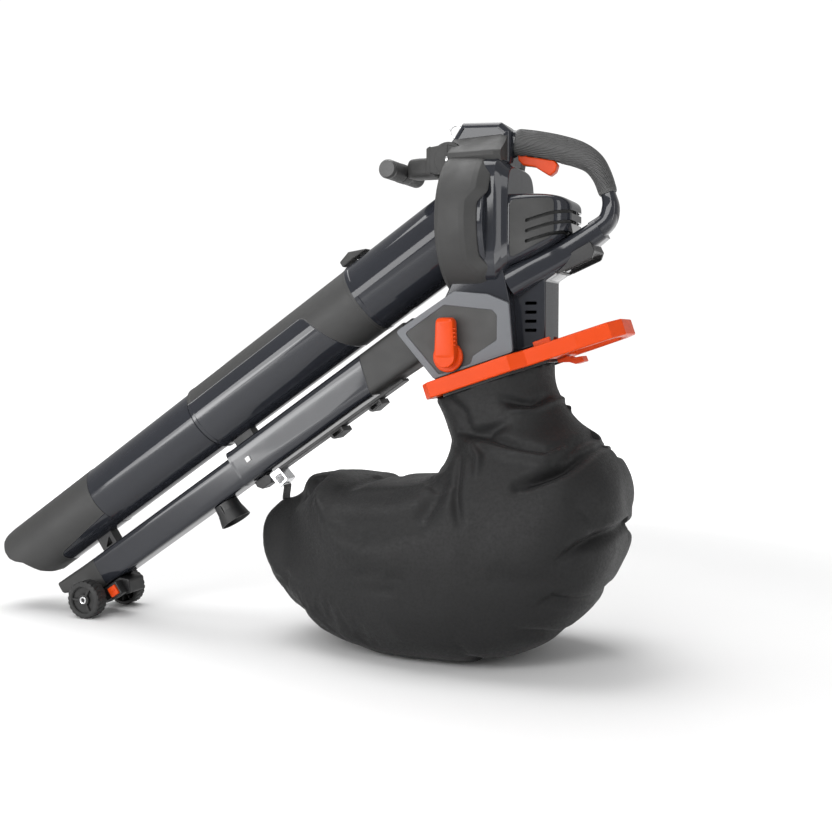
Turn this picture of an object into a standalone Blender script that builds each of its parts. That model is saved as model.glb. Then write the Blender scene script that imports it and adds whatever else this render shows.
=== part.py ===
"""Battery leaf blower and garden vacuum with two tubes, wheels and a collection bag.

Metres, +Z up. +X runs from the nozzles to the rear handle, -Y is the left (operator's thumb) side.
The model stands on its two wheels and on the underside of its bag.
"""
import math

import bmesh
import bpy
from mathutils import Matrix, Vector

GAP = 0.0003                      # clearance between touching mouldings
ORIGIN_SHIFT_X = -0.00029         # puts the box's middle at X = 0

# Suction tube: a straight line in the XZ plane, from the inlet ring down to the nozzle
INLET_X = 0.146
INLET_Z = 0.5585
TUBE_TILT = math.radians(34.2)
SUCTION_R = 0.0560                # lower tube, outside
COLLAR_R = 0.0588                 # upper tube, outside
INLET_R = 0.0600                  # inlet neck of the housing
TUBE_WALL = 0.0022
SUCTION_JOINT = -0.358            # stations along the tube line, 0 at the inlet ring
NOZZLE_SEAM = -0.614
NOZZLE_TIP = -0.840
SPIGOT = 0.036                    # how far one tube slides into the next

# Blow tube: parallel to the suction tube, below it
BLOW_HALF_W = 0.0265
BLOW_TOP = -0.0800
BLOW_BOTTOM = -0.1360
BLOW_UP_HALF_W = 0.0300
BLOW_UP_TOP = -0.0712
BLOW_UP_BOTTOM = -0.1345
BLOW_JOINT = -0.357
BLOW_SEAM = -0.700
BLOW_TIP = -0.786
BLOW_END = 0.034
SNAP_STATION = -0.3226            # snap button that holds the lower blow tube
SNAP_HEIGHT = -0.1035

# Wheels
WHEEL_R = 0.033
WHEEL_WIDTH = 0.026
WHEEL_OUTER_Y = 0.071
AXLE_X = -0.375
AXLE_R = 0.004

# Fan case, about a shaft along X
SHAFT_Z = 0.668
DRUM_FRONT = 0.300
DRUM_REAR = 0.372
DRUM_R = 0.104
SHELL = 0.003
SHELL_SOLVER = "MANIFOLD"         # the exact solver leaves open edges in the housing's many-piece union
BUMPER_R = 0.1175

# Lower duct box, under the fan, and the plane of the bag frame
DUCT_HALF_W = 0.069
FRAME_SLOPE = math.radians(18.6)
KNOB_X = 0.311
KNOB_Z = 0.466
PANEL_OUT = 0.0755                # outer face of the side panels
FRAME_T = 0.025                   # height of the bag frame's band

# Front handle hinge
PIVOT_X = 0.297
PIVOT_Z = 0.766

# Trigger hinge
TRIGGER_X = 0.402
TRIGGER_Z = 0.7775


def remove_all():
    for obj in list(bpy.data.objects):
        bpy.data.objects.remove(obj, do_unlink=True)


remove_all()
PARTS = bpy.data.collections.new("leaf_blower")
CUTTERS = bpy.data.collections.new("cutters")
bpy.context.scene.collection.children.link(PARTS)
bpy.context.scene.collection.children.link(CUTTERS)


def empty(name, location, parent=None, tilt=0.0):
    """A guide that other objects hang from, tilted about Y so its X climbs by the tilt."""
    guide = bpy.data.objects.new(name, None)
    guide.location = location
    guide.rotation_euler = (0.0, -tilt, 0.0)
    guide.parent = parent
    PARTS.objects.link(guide)
    return guide


ORIGIN = empty("blower_origin", (ORIGIN_SHIFT_X, 0.0, 0.0))
TUBE = empty("tube_line", (INLET_X, 0.0, INLET_Z), ORIGIN, TUBE_TILT)
BASE_X = 0.286                    # front lower corner of the duct box, on the frame plane
BASE_Z = 0.430
FRAME = empty("frame_plane", (BASE_X, 0.0, BASE_Z), ORIGIN, FRAME_SLOPE)


def base_z(x):
    """Height of the housing's sloping underside."""
    return BASE_Z + (x - BASE_X) * math.tan(FRAME_SLOPE)


def material(name, colour, roughness, metallic=0.0):
    mat = bpy.data.materials.new(name)
    mat.use_nodes = True
    shader = mat.node_tree.nodes["Principled BSDF"]
    shader.inputs["Base Color"].default_value = (*colour, 1.0)
    shader.inputs["Roughness"].default_value = roughness
    shader.inputs["Metallic"].default_value = metallic
    mat.diffuse_color = (*colour, 1.0)
    return mat


SLATE = material("slate_gloss", (0.032, 0.035, 0.042), 0.22)
MATTE = material("charcoal_matte", (0.062, 0.062, 0.060), 0.62)
PANEL = material("grey_panel", (0.26, 0.27, 0.29), 0.35)
ORANGE = material("orange_plastic", (0.95, 0.13, 0.02), 0.38)
BLACK = material("black_plastic", (0.015, 0.015, 0.016), 0.50)
RUBBER = material("grip_rubber", (0.055, 0.055, 0.055), 0.75)
FABRIC = material("bag_fabric", (0.026, 0.026, 0.027), 0.85)
STEEL = material("bright_steel", (0.75, 0.75, 0.76), 0.25, 1.0)
COPPER = material("motor_winding", (0.62, 0.30, 0.14), 0.40, 1.0)
BOARD = material("circuit_board", (0.03, 0.16, 0.07), 0.50)
WHITE = material("white_plastic", (0.85, 0.85, 0.85), 0.40)


# ---------------------------------------------------------------- mesh helpers

def mesh_from(bm, name):
    bmesh.ops.remove_doubles(bm, verts=bm.verts[:], dist=0.000001)
    bmesh.ops.recalc_face_normals(bm, faces=bm.faces[:])
    mesh = bpy.data.meshes.new(name)
    bm.to_mesh(mesh)
    bm.free()
    mesh.shade_smooth()
    mesh.set_sharp_from_angle(angle=math.radians(35.0))
    return mesh


def part(name, mesh, mat, parent=ORIGIN, location=(0.0, 0.0, 0.0)):
    obj = bpy.data.objects.new(name, mesh)
    obj.parent = parent
    obj.location = location
    PARTS.objects.link(obj)
    mesh.materials.clear()
    mesh.materials.append(mat)
    return obj


def cutter(name, mesh, parent=ORIGIN, location=(0.0, 0.0, 0.0)):
    obj = bpy.data.objects.new(name, mesh)
    obj.parent = parent
    obj.location = location
    obj.hide_render = True
    obj.display_type = "WIRE"
    CUTTERS.objects.link(obj)
    return obj


def boolean(obj, tool, operation="DIFFERENCE", solver="EXACT"):
    mod = obj.modifiers.new(operation.lower(), "BOOLEAN")
    mod.operation = operation
    mod.solver = solver
    mod.object = tool
    return mod


def baked(obj):
    """Replace the object's mesh by its evaluated mesh, in its first material, and drop its modifiers."""
    bpy.context.view_layer.update()
    graph = bpy.context.evaluated_depsgraph_get()
    mesh = bpy.data.meshes.new_from_object(obj.evaluated_get(graph))
    finish = obj.data.materials[0] if obj.data.materials else None
    obj.modifiers.clear()
    obj.data = mesh
    mesh.materials.clear()
    if finish:
        mesh.materials.append(finish)
    return obj


def box(size, centre=(0.0, 0.0, 0.0), bevel=0.0):
    bm = bmesh.new()
    place = Matrix.Translation(centre) @ Matrix.Diagonal((*size, 1.0))
    bmesh.ops.create_cube(bm, size=1.0, matrix=place)
    if bevel:
        bmesh.ops.bevel(bm, geom=bm.edges[:], offset=bevel, segments=2, affect="EDGES", profile=0.5)
    return mesh_from(bm, "box")


def loft(loops, caps=True):
    """Skin a list of equal loops; without caps the last loop joins the first."""
    bm = bmesh.new()
    rings = [[bm.verts.new(point) for point in loop] for loop in loops]
    pairs = list(zip(rings, rings[1:]))
    if not caps:
        pairs.append((rings[-1], rings[0]))
    for first, second in pairs:
        for index in range(len(first)):
            after = (index + 1) % len(first)
            bm.faces.new((first[index], first[after], second[after], second[index]))
    if caps:
        bm.faces.new(rings[0])
        bm.faces.new(rings[-1])
    return mesh_from(bm, "loft")


def oval(x, half_w, bottom, top, power=2.0, sides=24):
    """A superellipse across the X direction, between a bottom and a top height."""
    middle = 0.5 * (bottom + top)
    half_h = 0.5 * (top - bottom)
    points = []
    for index in range(sides):
        angle = 2.0 * math.pi * index / sides
        c, s = math.cos(angle), math.sin(angle)
        y = half_w * math.copysign(abs(c) ** (2.0 / power), c)
        z = half_h * math.copysign(abs(s) ** (2.0 / power), s)
        points.append(Vector((x, y, middle + z)))
    return points


def turned(profile, axis="X", steps=32):
    """Turn a closed (distance along the axis, radius) profile with a Screw modifier."""
    bm = bmesh.new()
    verts = [bm.verts.new((radius, 0.0, along)) for along, radius in profile]
    for index, vert in enumerate(verts):
        after = verts[(index + 1) % len(verts)]
        if vert.co.x > 0.0 or after.co.x > 0.0:
            bm.edges.new((vert, after))
    mesh = bpy.data.meshes.new("profile")
    bm.to_mesh(mesh)
    bm.free()
    obj = bpy.data.objects.new("profile", mesh)
    CUTTERS.objects.link(obj)
    screw = obj.modifiers.new("turn", "SCREW")
    screw.axis = "Z"
    screw.steps = steps
    screw.render_steps = steps
    screw.use_merge_vertices = True
    screw.merge_threshold = 0.00001
    baked(obj)
    bm = bmesh.new()
    bm.from_mesh(obj.data)
    bmesh.ops.dissolve_degenerate(bm, dist=0.000001, edges=bm.edges[:])
    spin = {"X": Matrix.Rotation(math.pi / 2.0, 4, "Y"), "Y": Matrix.Rotation(-math.pi / 2.0, 4, "X"),
            "Z": Matrix.Identity(4)}[axis]
    bmesh.ops.transform(bm, matrix=spin, verts=bm.verts[:])
    bpy.data.objects.remove(obj, do_unlink=True)
    return mesh_from(bm, "turned")


def rod(radius, start, end, axis="X", steps=16):
    """Plain round bar along an axis."""
    return turned([(start, 0.0), (start, radius), (end, radius), (end, 0.0)], axis, steps)


def sleeve(inner, outer, start, end, axis="X", steps=24):
    """Plain bush along an axis."""
    return turned([(start, inner), (start, outer), (end, outer), (end, inner)], axis, steps)


def moved(mesh, matrix):
    mesh.transform(matrix)
    return mesh


def at(x=0.0, y=0.0, z=0.0):
    return Matrix.Translation((x, y, z))


def rounded(points, radius, steps=3):
    """Replace each corner of an XZ outline by an arc of the given radius."""
    outline = []
    count = len(points)
    for index in range(count):
        here = Vector(points[index])
        back = (Vector(points[index - 1]) - here)
        ahead = (Vector(points[(index + 1) % count]) - here)
        turn = back.angle(ahead)
        reach = min(radius / math.tan(turn / 2.0), 0.45 * back.length, 0.45 * ahead.length)
        start = here + back.normalized() * reach
        end = here + ahead.normalized() * reach
        for step in range(steps + 1):
            t = step / steps
            outline.append((1 - t) ** 2 * start + 2 * t * (1 - t) * here + t * t * end)
    return [(point.x, point.y) for point in outline]


def plate(outlines, y_low, y_high, edge=0.0):
    """Flat moulding from XZ outlines (a second outline is a hole), between two Y planes."""
    curve = bpy.data.curves.new("outline", "CURVE")
    curve.dimensions = "2D"
    curve.fill_mode = "BOTH"
    curve.extrude = 0.5 * (y_high - y_low) - edge
    curve.bevel_depth = edge
    curve.bevel_resolution = 1
    curve.offset = -edge
    for points in outlines:
        spline = curve.splines.new("POLY")
        spline.points.add(len(points) - 1)
        for target, (x, z) in zip(spline.points, points):
            target.co = (x, z, 0.0, 1.0)
        spline.use_cyclic_u = True
    obj = bpy.data.objects.new("outline", curve)
    CUTTERS.objects.link(obj)
    bpy.context.view_layer.update()
    graph = bpy.context.evaluated_depsgraph_get()
    mesh = bpy.data.meshes.new_from_object(obj.evaluated_get(graph))
    bpy.data.objects.remove(obj, do_unlink=True)
    mesh.transform(at(y=0.5 * (y_low + y_high)) @ Matrix.Rotation(math.pi / 2.0, 4, "X"))
    bm = bmesh.new()
    bm.from_mesh(mesh)
    return mesh_from(bm, "plate")


def sweep(path, sizes, power=2.5, sides=16):
    """Loops across a path in the XZ plane; sizes are (half thickness, half width) at each point."""
    points = [Vector((x, 0.0, z)) for x, z in path]
    loops = []
    for index, here in enumerate(points):
        ahead = points[min(index + 1, len(points) - 1)]
        behind = points[max(index - 1, 0)]
        along = (ahead - behind).normalized()
        side = Vector((-along.z, 0.0, along.x))
        half_t, half_w = sizes[index]
        loop = []
        for corner in range(sides):
            angle = 2.0 * math.pi * corner / sides
            c, s = math.cos(angle), math.sin(angle)
            width = half_w * math.copysign(abs(c) ** (2.0 / power), c)
            depth = half_t * math.copysign(abs(s) ** (2.0 / power), s)
            loop.append(here + side * depth + Vector((0.0, width, 0.0)))
        loops.append(loop)
    return loops


def half_space(side):
    """A big block on one side of the parting plane: -1 is left, +1 is right."""
    return cutter("half_block", box((2.4, 0.6, 1.6), (0.0, side * (0.3 + 0.5 * GAP), 0.5)))


# ---------------------------------------------------------------- tubes

def suction_tubes():
    spigot_r = COLLAR_R - 0.0015
    upper = [(SUCTION_JOINT + GAP, COLLAR_R), (-GAP, COLLAR_R), (-GAP, spigot_r), (SPIGOT, spigot_r),
             (SPIGOT, spigot_r - 0.0015), (-0.002, spigot_r - 0.0015), (-0.010, SUCTION_R + 2 * GAP),
             (SUCTION_JOINT + GAP, SUCTION_R + 2 * GAP)]
    part("suction_tube_upper", turned(upper, steps=40), SLATE, TUBE)
    seat = SUCTION_R - TUBE_WALL
    lower = [(NOZZLE_SEAM, SUCTION_R), (SUCTION_JOINT + SPIGOT, SUCTION_R), (SUCTION_JOINT + SPIGOT, seat),
             (NOZZLE_SEAM - 0.024, seat), (NOZZLE_SEAM - 0.024, seat + 0.0015), (NOZZLE_SEAM, seat + 0.0015)]
    part("suction_tube_lower", turned(lower, steps=40), SLATE, TUBE)
    outer = SUCTION_R + 0.0006
    nozzle = [(NOZZLE_TIP - 0.01, outer), (NOZZLE_SEAM - GAP, outer), (NOZZLE_SEAM - GAP, seat + 0.0018),
              (NOZZLE_SEAM - 0.026, seat + 0.0018), (NOZZLE_SEAM - 0.030, seat), (NOZZLE_TIP - 0.01, seat)]
    sleeve_part = part("suction_nozzle", turned(nozzle, steps=40), MATTE, TUBE)
    tip = NOZZLE_TIP
    mouth = [(-0.93, 0.10), (tip + 0.018, 0.10), (tip + 0.018, 0.0540), (tip + 0.004, 0.0480), (tip, 0.0400),
             (tip + 0.001, 0.0200), (tip + 0.005, 0.0040), (tip + 0.013, -0.0070), (tip + 0.025, -0.0170),
             (tip + 0.031, -0.0300), (tip + 0.036, -0.0440), (tip + 0.045, -0.0550), (tip + 0.062, -0.0600),
             (tip + 0.070, -0.10), (-0.93, -0.10)]
    boolean(sleeve_part, cutter("mouth_cut", plate([mouth], -0.08, 0.08), TUBE))
    return baked(sleeve_part)


def blow_tubes():
    low, high = BLOW_BOTTOM, BLOW_TOP
    wall = TUBE_WALL
    upper_out = [oval(x, w, b, BLOW_UP_TOP, 3.0, 28) for x, w, b in (
        (BLOW_JOINT + GAP, BLOW_UP_HALF_W, BLOW_UP_BOTTOM - 0.003), (-0.10, 0.031, -0.137), (BLOW_END, 0.033,
            -0.141))]
    step = 0.0025
    neck = [oval(x, 0.033 - step, -0.141 + step, BLOW_UP_TOP - step, 3.0, 28) for x in (BLOW_END, 0.050)]
    bore = [oval(x, 0.033 - 2 * step, -0.141 + 2 * step, BLOW_UP_TOP - 2 * step, 3.0, 28) for x in (0.050,
        0.0)]
    socket = [oval(x, BLOW_HALF_W + GAP, low - GAP, high + GAP, 3.0, 28) for x in (-0.30, BLOW_JOINT + GAP)]
    part("blow_tube_upper", loft(upper_out + neck + bore + socket, caps=False), SLATE, TUBE)
    stations = [(BLOW_SEAM, BLOW_HALF_W, low, high), (BLOW_JOINT + SPIGOT, BLOW_HALF_W, low, high)]
    outer = [oval(x, w, b, t, 3.0, 28) for x, w, b, t in stations]
    inner = [oval(x, w - wall, b + wall, t - wall, 3.0, 28) for x, w, b, t in stations]
    end = BLOW_SEAM - 0.020
    tongue = [oval(end, BLOW_HALF_W - inset, low + inset, high - inset, 3.0, 28) for inset in (wall,
        wall - 0.0012)]
    root = oval(BLOW_SEAM, BLOW_HALF_W - wall + 0.0012, low + wall - 0.0012, high - wall + 0.0012, 3.0, 28)
    part("blow_tube_lower", loft(outer + [inner[1], tongue[0], tongue[1], root], caps=False), SLATE, TUBE)
    tip = [(BLOW_SEAM - GAP, BLOW_HALF_W, low, high), (-0.730, 0.0280, -0.1345, high),
           (-0.758, 0.0318, -0.1190, high), (BLOW_TIP, 0.0340, -0.1040, high)]
    outer = [oval(x, w, b, t, 3.0, 28) for x, w, b, t in tip]
    inner = [oval(x, w - wall, b + wall, t - wall, 3.0, 28) for x, w, b, t in tip[1:]]
    seat = [oval(x, BLOW_HALF_W - inset, low + inset, high - inset, 3.0, 28)
            for x, inset in ((BLOW_SEAM - 0.021, wall - 0.0012 - GAP), (BLOW_SEAM - GAP,
                wall - 0.0012 - GAP))]
    part("blow_nozzle", loft(outer + inner[::-1] + seat, caps=False), MATTE, TUBE)


def clip(name, station, length, top, bottom, mat):
    """Strap between the two tubes: a saddle under one and over the other."""
    outline = [(station - length / 2, bottom), (station + length / 2, bottom),
               (station + length / 2, top), (station - length / 2, top)]
    piece = part(name, plate([rounded(outline, 0.002)], -0.011, 0.011), mat, TUBE)
    return piece


def tube_clips():
    lower = clip("tube_clip_lower", -0.664, 0.034, -0.0540, -0.0805, BLACK)
    scoop = rod(SUCTION_R + 0.0006 + GAP, -0.9, 0.2, "X", 40)
    boolean(lower, cutter("scoop_lower", scoop, TUBE))
    ridge = loft([oval(x, BLOW_HALF_W + GAP, BLOW_BOTTOM, BLOW_TOP + GAP, 3.0, 28) for x in (-0.72, -0.60)])
    boolean(lower, cutter("ridge_lower", ridge, TUBE))
    window = [(-0.671, -0.0760), (-0.656, -0.0760), (-0.656, -0.0630)]
    boolean(lower, cutter("clip_window", plate([window], -0.02, 0.02), TUBE))
    baked(lower)
    middle = clip("tube_clip_middle", -0.320, 0.040, -0.0560, -0.0730, BLACK)
    boolean(middle, cutter("scoop_middle", rod(COLLAR_R + GAP, -0.5, 0.0, "X", 40), TUBE))
    ridge = loft([oval(x, BLOW_UP_HALF_W + 0.0008, -0.137, BLOW_UP_TOP + GAP, 3.0, 28) for x in (-0.36,
        -0.26)])
    boolean(middle, cutter("ridge_middle", ridge, TUBE))
    baked(middle)


def tube_buttons():
    """The suction tube's lock on top of the inlet neck, and the blow tube's snap button."""
    outline = [(-0.006, INLET_R + 0.0035), (-0.006, 0.074), (0.016, 0.079), (0.044, 0.0655), (0.044,
        INLET_R + 0.0035)]
    part("tube_lock_button", plate([rounded(outline, 0.003)], -0.013, 0.013), MATTE, TUBE)
    coil = sleeve(0.0028, 0.0040, INLET_R + 0.0006, INLET_R + 0.0032, "Z", 16)
    part("tube_lock_spring", coil, STEEL, TUBE, (0.02, 0, 0))
    snap = box((0.009, 0.0035, 0.009), (SNAP_STATION, -BLOW_UP_HALF_W - 0.0010, SNAP_HEIGHT), 0.0008)
    part("blow_snap_button", snap, WHITE, TUBE)
    body = bpy.data.objects["blow_tube_upper"]
    hole = box((0.0098, 0.02, 0.0098), (SNAP_STATION, -BLOW_UP_HALF_W - 0.004, SNAP_HEIGHT))
    boolean(body, cutter("snap_hole", hole, TUBE))
    return baked(body)


# ---------------------------------------------------------------- wheels

def wheel_bracket():
    outline = [(-0.752, -0.1450), (-0.742, -0.1365), (-0.668, -0.1365), (-0.655, -0.150), (-0.668, -0.172),
               (-0.700, -0.160), (-0.722, -0.158), (-0.745, -0.156)]
    bracket = part("wheel_bracket", plate([rounded(outline, 0.004)], -0.040, 0.040, 0.001), BLACK, TUBE)
    axle_s = (AXLE_X - INLET_X) * math.cos(TUBE_TILT) + (WHEEL_R - INLET_Z) * math.sin(TUBE_TILT)
    axle_t = (WHEEL_R - INLET_Z) * math.cos(TUBE_TILT) - (AXLE_X - INLET_X) * math.sin(TUBE_TILT)
    bore = rod(AXLE_R + 0.00005, -0.05, 0.05, "Y", 20)
    boolean(bracket, cutter("axle_bore", bore, TUBE, (axle_s, 0, axle_t)))
    nozzle = loft([oval(x, 0.0290, b - GAP, -0.08, 3.0, 28) for x, b in (
        (-0.80, -0.1350), (-0.730, -0.1360), (BLOW_SEAM, -0.1364), (-0.60, -0.1364))])
    boolean(bracket, cutter("nozzle_clear", nozzle, TUBE))
    pocket = box((0.0186, 0.016, 0.0186), (-0.682, -0.040, -0.1545))
    boolean(bracket, cutter("button_pocket", pocket, TUBE))
    baked(bracket)
    button = box((0.0176, 0.009, 0.0176), (-0.682, -0.0390, -0.1545), 0.0012)
    part("wheel_release_button", button, ORANGE, TUBE)
    part("wheel_axle", rod(AXLE_R - 0.00002, -WHEEL_OUTER_Y + 0.006, WHEEL_OUTER_Y - 0.006, "Y", 20), STEEL,
         ORIGIN, (AXLE_X, 0, WHEEL_R))


def wheel(name, side):
    """Turned tyre with a dished face; the bore runs on the axle."""
    outer = WHEEL_OUTER_Y
    inner = WHEEL_OUTER_Y - WHEEL_WIDTH
    bore = AXLE_R + 0.00003
    profile = [(inner, bore), (inner, 0.009), (inner + 0.004, 0.010), (inner + 0.004, 0.026), (inner, 0.027),
               (inner, WHEEL_R - 0.0015), (inner + 0.0015, WHEEL_R), (outer - 0.003, WHEEL_R),
               (outer - 0.0005, WHEEL_R - 0.003), (outer, WHEEL_R - 0.006), (outer, 0.024), (outer - 0.0025,
                   0.022),
               (outer - 0.0025, 0.0105), (outer - 0.0045, 0.0095), (outer - 0.0045, bore)]
    mesh = turned([(side * along, radius) for along, radius in profile], "Y", 40)
    return part(name, mesh, BLACK, ORIGIN, (AXLE_X, 0, WHEEL_R))


def wheels():
    wheel("wheel_left", -1)
    wheel("wheel_right", 1)
    for name, side in (("wheel_cap_left", -1), ("wheel_cap_right", 1)):
        low = WHEEL_OUTER_Y - 0.0042
        high = WHEEL_OUTER_Y + 0.0006
        profile = [(low, 0.0), (low, 0.0085), (high - 0.001, 0.0085), (high, 0.0075), (high, 0.0)]
        part(name, turned([(side * along, radius) for along, radius in profile], "Y", 24), STEEL,
             ORIGIN, (AXLE_X, 0, WHEEL_R))


# ---------------------------------------------------------------- housing

HANDLE_PATH = [(0.372, 0.792), (0.395, 0.7905), (0.425, 0.7865), (0.460, 0.778), (0.490, 0.768), (0.512,
    0.754),
               (0.526, 0.733), (0.535, 0.708), (0.539, 0.688), (0.534, 0.668), (0.516, 0.653)]
HANDLE_SIZES = [(0.020, 0.019), (0.0185, 0.0175), (0.0175, 0.0160), (0.0175, 0.0150), (0.0165, 0.0145),
                (0.0140, 0.0140), (0.0115, 0.0130), (0.0105, 0.0130), (0.0125, 0.0170), (0.0140, 0.0190),
                (0.0160, 0.0210)]


def housing_outside():
    """Closed solids whose union is the outside of both housing halves."""
    pieces = [moved(rod(DRUM_R, DRUM_FRONT, DRUM_REAR, "X", 48), at(z=SHAFT_Z))]
    tube = Matrix.Translation((INLET_X, 0, INLET_Z)) @ Matrix.Rotation(-TUBE_TILT, 4, "Y")
    pieces.append(moved(rod(INLET_R, 0.0, 0.235, "X", 40), tube))
    head = [(0.286, 0.748), (0.286, 0.782), (0.300, 0.798), (0.316, 0.822), (0.377, 0.819), (0.392, 0.806),
            (0.3915, 0.700), (0.320, 0.700)]
    pieces.append(plate([rounded(head, 0.006, 2)], -0.034, 0.034, 0.004))
    pieces.append(loft([oval(x, w, b, t, 5.0, 28) for x, w, b, t in (
        (0.350, 0.086, 0.572, 0.762), (0.378, 0.083, 0.578, 0.758), (0.3915, 0.074, 0.592, 0.748))]))
    duct = [(0.228, 0.503), (0.300, 0.553), (0.330, 0.612), (0.389, 0.612), (0.404, 0.548), (0.409,
        base_z(0.409)),
            (BASE_X, BASE_Z)]
    pieces.append(plate([rounded(duct, 0.003, 1)], -DUCT_HALF_W, DUCT_HALF_W, 0.002))
    column = [(0.380, base_z(0.380) + 0.002), (0.380, 0.610), (0.425, 0.6085), (0.4655, 0.6065), (0.4655,
        0.5895),
              (0.451, 0.580), (0.451, base_z(0.451))]
    pieces.append(plate([rounded(column, 0.004, 2)], -0.042, 0.042, 0.004))
    beam_path = [(0.396, 0.590), (0.420, 0.6035), (0.455, 0.6220), (0.490, 0.6405), (0.5265, 0.6600)]
    beam_sizes = [(0.024, 0.070), (0.021, 0.062), (0.017, 0.046), (0.015, 0.031), (0.0150, 0.0215)]
    pieces.append(loft(sweep(beam_path, beam_sizes, 4.0, 20)))
    pieces.append(loft(sweep(HANDLE_PATH, HANDLE_SIZES)))
    return pieces


def housing_inside():
    """Closed solids whose union is the hollow of the housing."""
    pieces = [moved(rod(DRUM_R - SHELL, DRUM_FRONT + SHELL, DRUM_REAR - SHELL, "X", 48), at(z=SHAFT_Z))]
    tube = Matrix.Translation((INLET_X, 0, INLET_Z)) @ Matrix.Rotation(-TUBE_TILT, 4, "Y")
    seat = COLLAR_R - 0.0015 + GAP
    bore = [(-0.010, 0.0), (-0.010, seat), (SPIGOT + 0.001, seat), (SPIGOT + 0.001, 0.0540), (0.230, 0.0540),
            (0.230, 0.0)]
    pieces.append(moved(turned(bore, steps=40), tube))
    duct = [(0.2335, 0.5020), (0.303, 0.5515), (0.326, 0.625), (0.3660, 0.625), (0.3660, 0.560), (0.4005,
        0.545),
            (0.4055, 0.4800), (0.398, 0.452), (0.296, 0.415)]
    pieces.append(plate([duct], -DUCT_HALF_W + SHELL, DUCT_HALF_W - SHELL))
    port = loft([oval(x, 0.0308, -0.1388, BLOW_UP_TOP - 0.0022, 3.0, 28) for x in (BLOW_END - 0.02, 0.075)])
    pieces.append(moved(port, tube))
    pieces.append(moved(rod(0.040, 0.360, 0.400, "X", 40), at(z=SHAFT_Z)))
    column = [(0.4125, 0.4860), (0.4125, 0.598), (0.422, 0.5985), (0.4478, 0.5870), (0.4478, 0.4945)]
    pieces.append(plate([column], -0.0390, 0.0390))
    switch = [(0.415, 0.7720), (0.415, 0.7970), (0.458, 0.7880), (0.458, 0.7680)]
    pieces.append(plate([switch], -0.0085, 0.0085))
    trigger_slot = [(0.3945, 0.7500), (0.3945, 0.7865), (0.4120, 0.7865), (0.4620, 0.7745), (0.4660, 0.7450)]
    pieces.append(plate([trigger_slot], -0.0085, 0.0085))
    return pieces


def housing_openings():
    """Cooling slots of the rear column and the bores through both sides."""
    pieces = []
    for index in range(4):
        height = 0.506 + 0.0135 * index
        pieces.append(box((0.018, 0.24, 0.0050), (0.429, 0.0, height)))
    pieces.append(moved(rod(0.0065, -0.09, 0.09, "Y", 20), at(KNOB_X, 0, KNOB_Z)))
    pieces.append(moved(rod(0.0042, -0.09, 0.09, "Y", 20), at(PIVOT_X, 0, PIVOT_Z)))
    pieces.append(moved(rod(0.0018, -0.012, 0.012, "Y", 12), at(TRIGGER_X, 0, TRIGGER_Z)))
    return pieces


def hub_pockets(radius, inner, outer):
    """Round spaces on both sides of the head, where the front handle's hubs turn."""
    return [moved(rod(radius, *sorted((side * inner, side * outer)), "Y", 40), at(PIVOT_X, 0, PIVOT_Z))
            for side in (-1, 1)]


def housing_half(name, side):
    outside = housing_outside()
    shell = part(name, outside[0], SLATE)
    for mesh in outside[1:]:
        boolean(shell, cutter("outside", mesh), "UNION", SHELL_SOLVER)
    for mesh in hub_pockets(0.0266, 0.0343, 0.0468):
        boolean(shell, cutter("hub_pocket", mesh), solver=SHELL_SOLVER)
    baked(shell)
    inside = housing_inside()
    fan_space = cutter("fan_space", inside[0])
    for mesh in hub_pockets(0.0296, 0.0313, 0.0498):
        boolean(fan_space, cutter("pocket_wall", mesh), solver=SHELL_SOLVER)
    baked(fan_space)
    boolean(shell, fan_space, solver=SHELL_SOLVER)
    for mesh in inside[1:] + housing_openings():
        boolean(shell, cutter("inside", mesh), solver=SHELL_SOLVER)
    baked(shell)
    boolean(shell, half_space(side), "INTERSECT", SHELL_SOLVER)
    baked(shell)
    return shell


def bumper(name, side):
    """Soft crescent around one side of the fan case, thickest at its middle."""
    loops = []
    count = 22
    for index in range(count + 1):
        share = index / count
        angle = math.radians(-76.0 + 158.0 * share)
        swell = math.sin(math.pi * share) ** 0.35 if 0.0 < share < 1.0 else 0.0
        base = DRUM_R + GAP
        crown = base + 0.0045 + (BUMPER_R - base - 0.0045) * swell
        front = DRUM_FRONT + 0.001 - 0.001 * swell
        ridge = 0.3515
        section = [(front, base), (front, 0.5 * (base + crown)), (front + 0.002, crown - 0.003),
                   (front + 0.008, crown),
                   (ridge - 0.006, crown), (ridge, crown - 0.0015), (ridge + 0.013, base + 0.0015),
                   (ridge + 0.0145, base)]
        loops.append([Vector((x, side * radius * math.cos(angle), SHAFT_Z + radius * math.sin(angle)))
                      for x, radius in section])
    return part(name, loft(loops), MATTE)


def bumpers():
    for name, side in (("bumper_left", -1), ("bumper_right", 1)):
        piece = bumper(name, side)
        for tool in housing_outside()[1:]:
            boolean(piece, cutter("bumper_clear", grown(tool)), solver=SHELL_SOLVER)
        for tool in hub_pockets(0.0268, 0.0300, 0.0470):
            boolean(piece, cutter("bumper_clear", tool), solver=SHELL_SOLVER)
        keep_largest(baked(piece))


def grown(mesh):
    """The same solid, pushed out by the clearance along its normals."""
    bm = bmesh.new()
    bm.from_mesh(mesh)
    bm.normal_update()
    for vert in bm.verts:
        vert.co += vert.normal * (2.0 * GAP)
    bm.to_mesh(mesh)
    bm.free()
    return mesh


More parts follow.
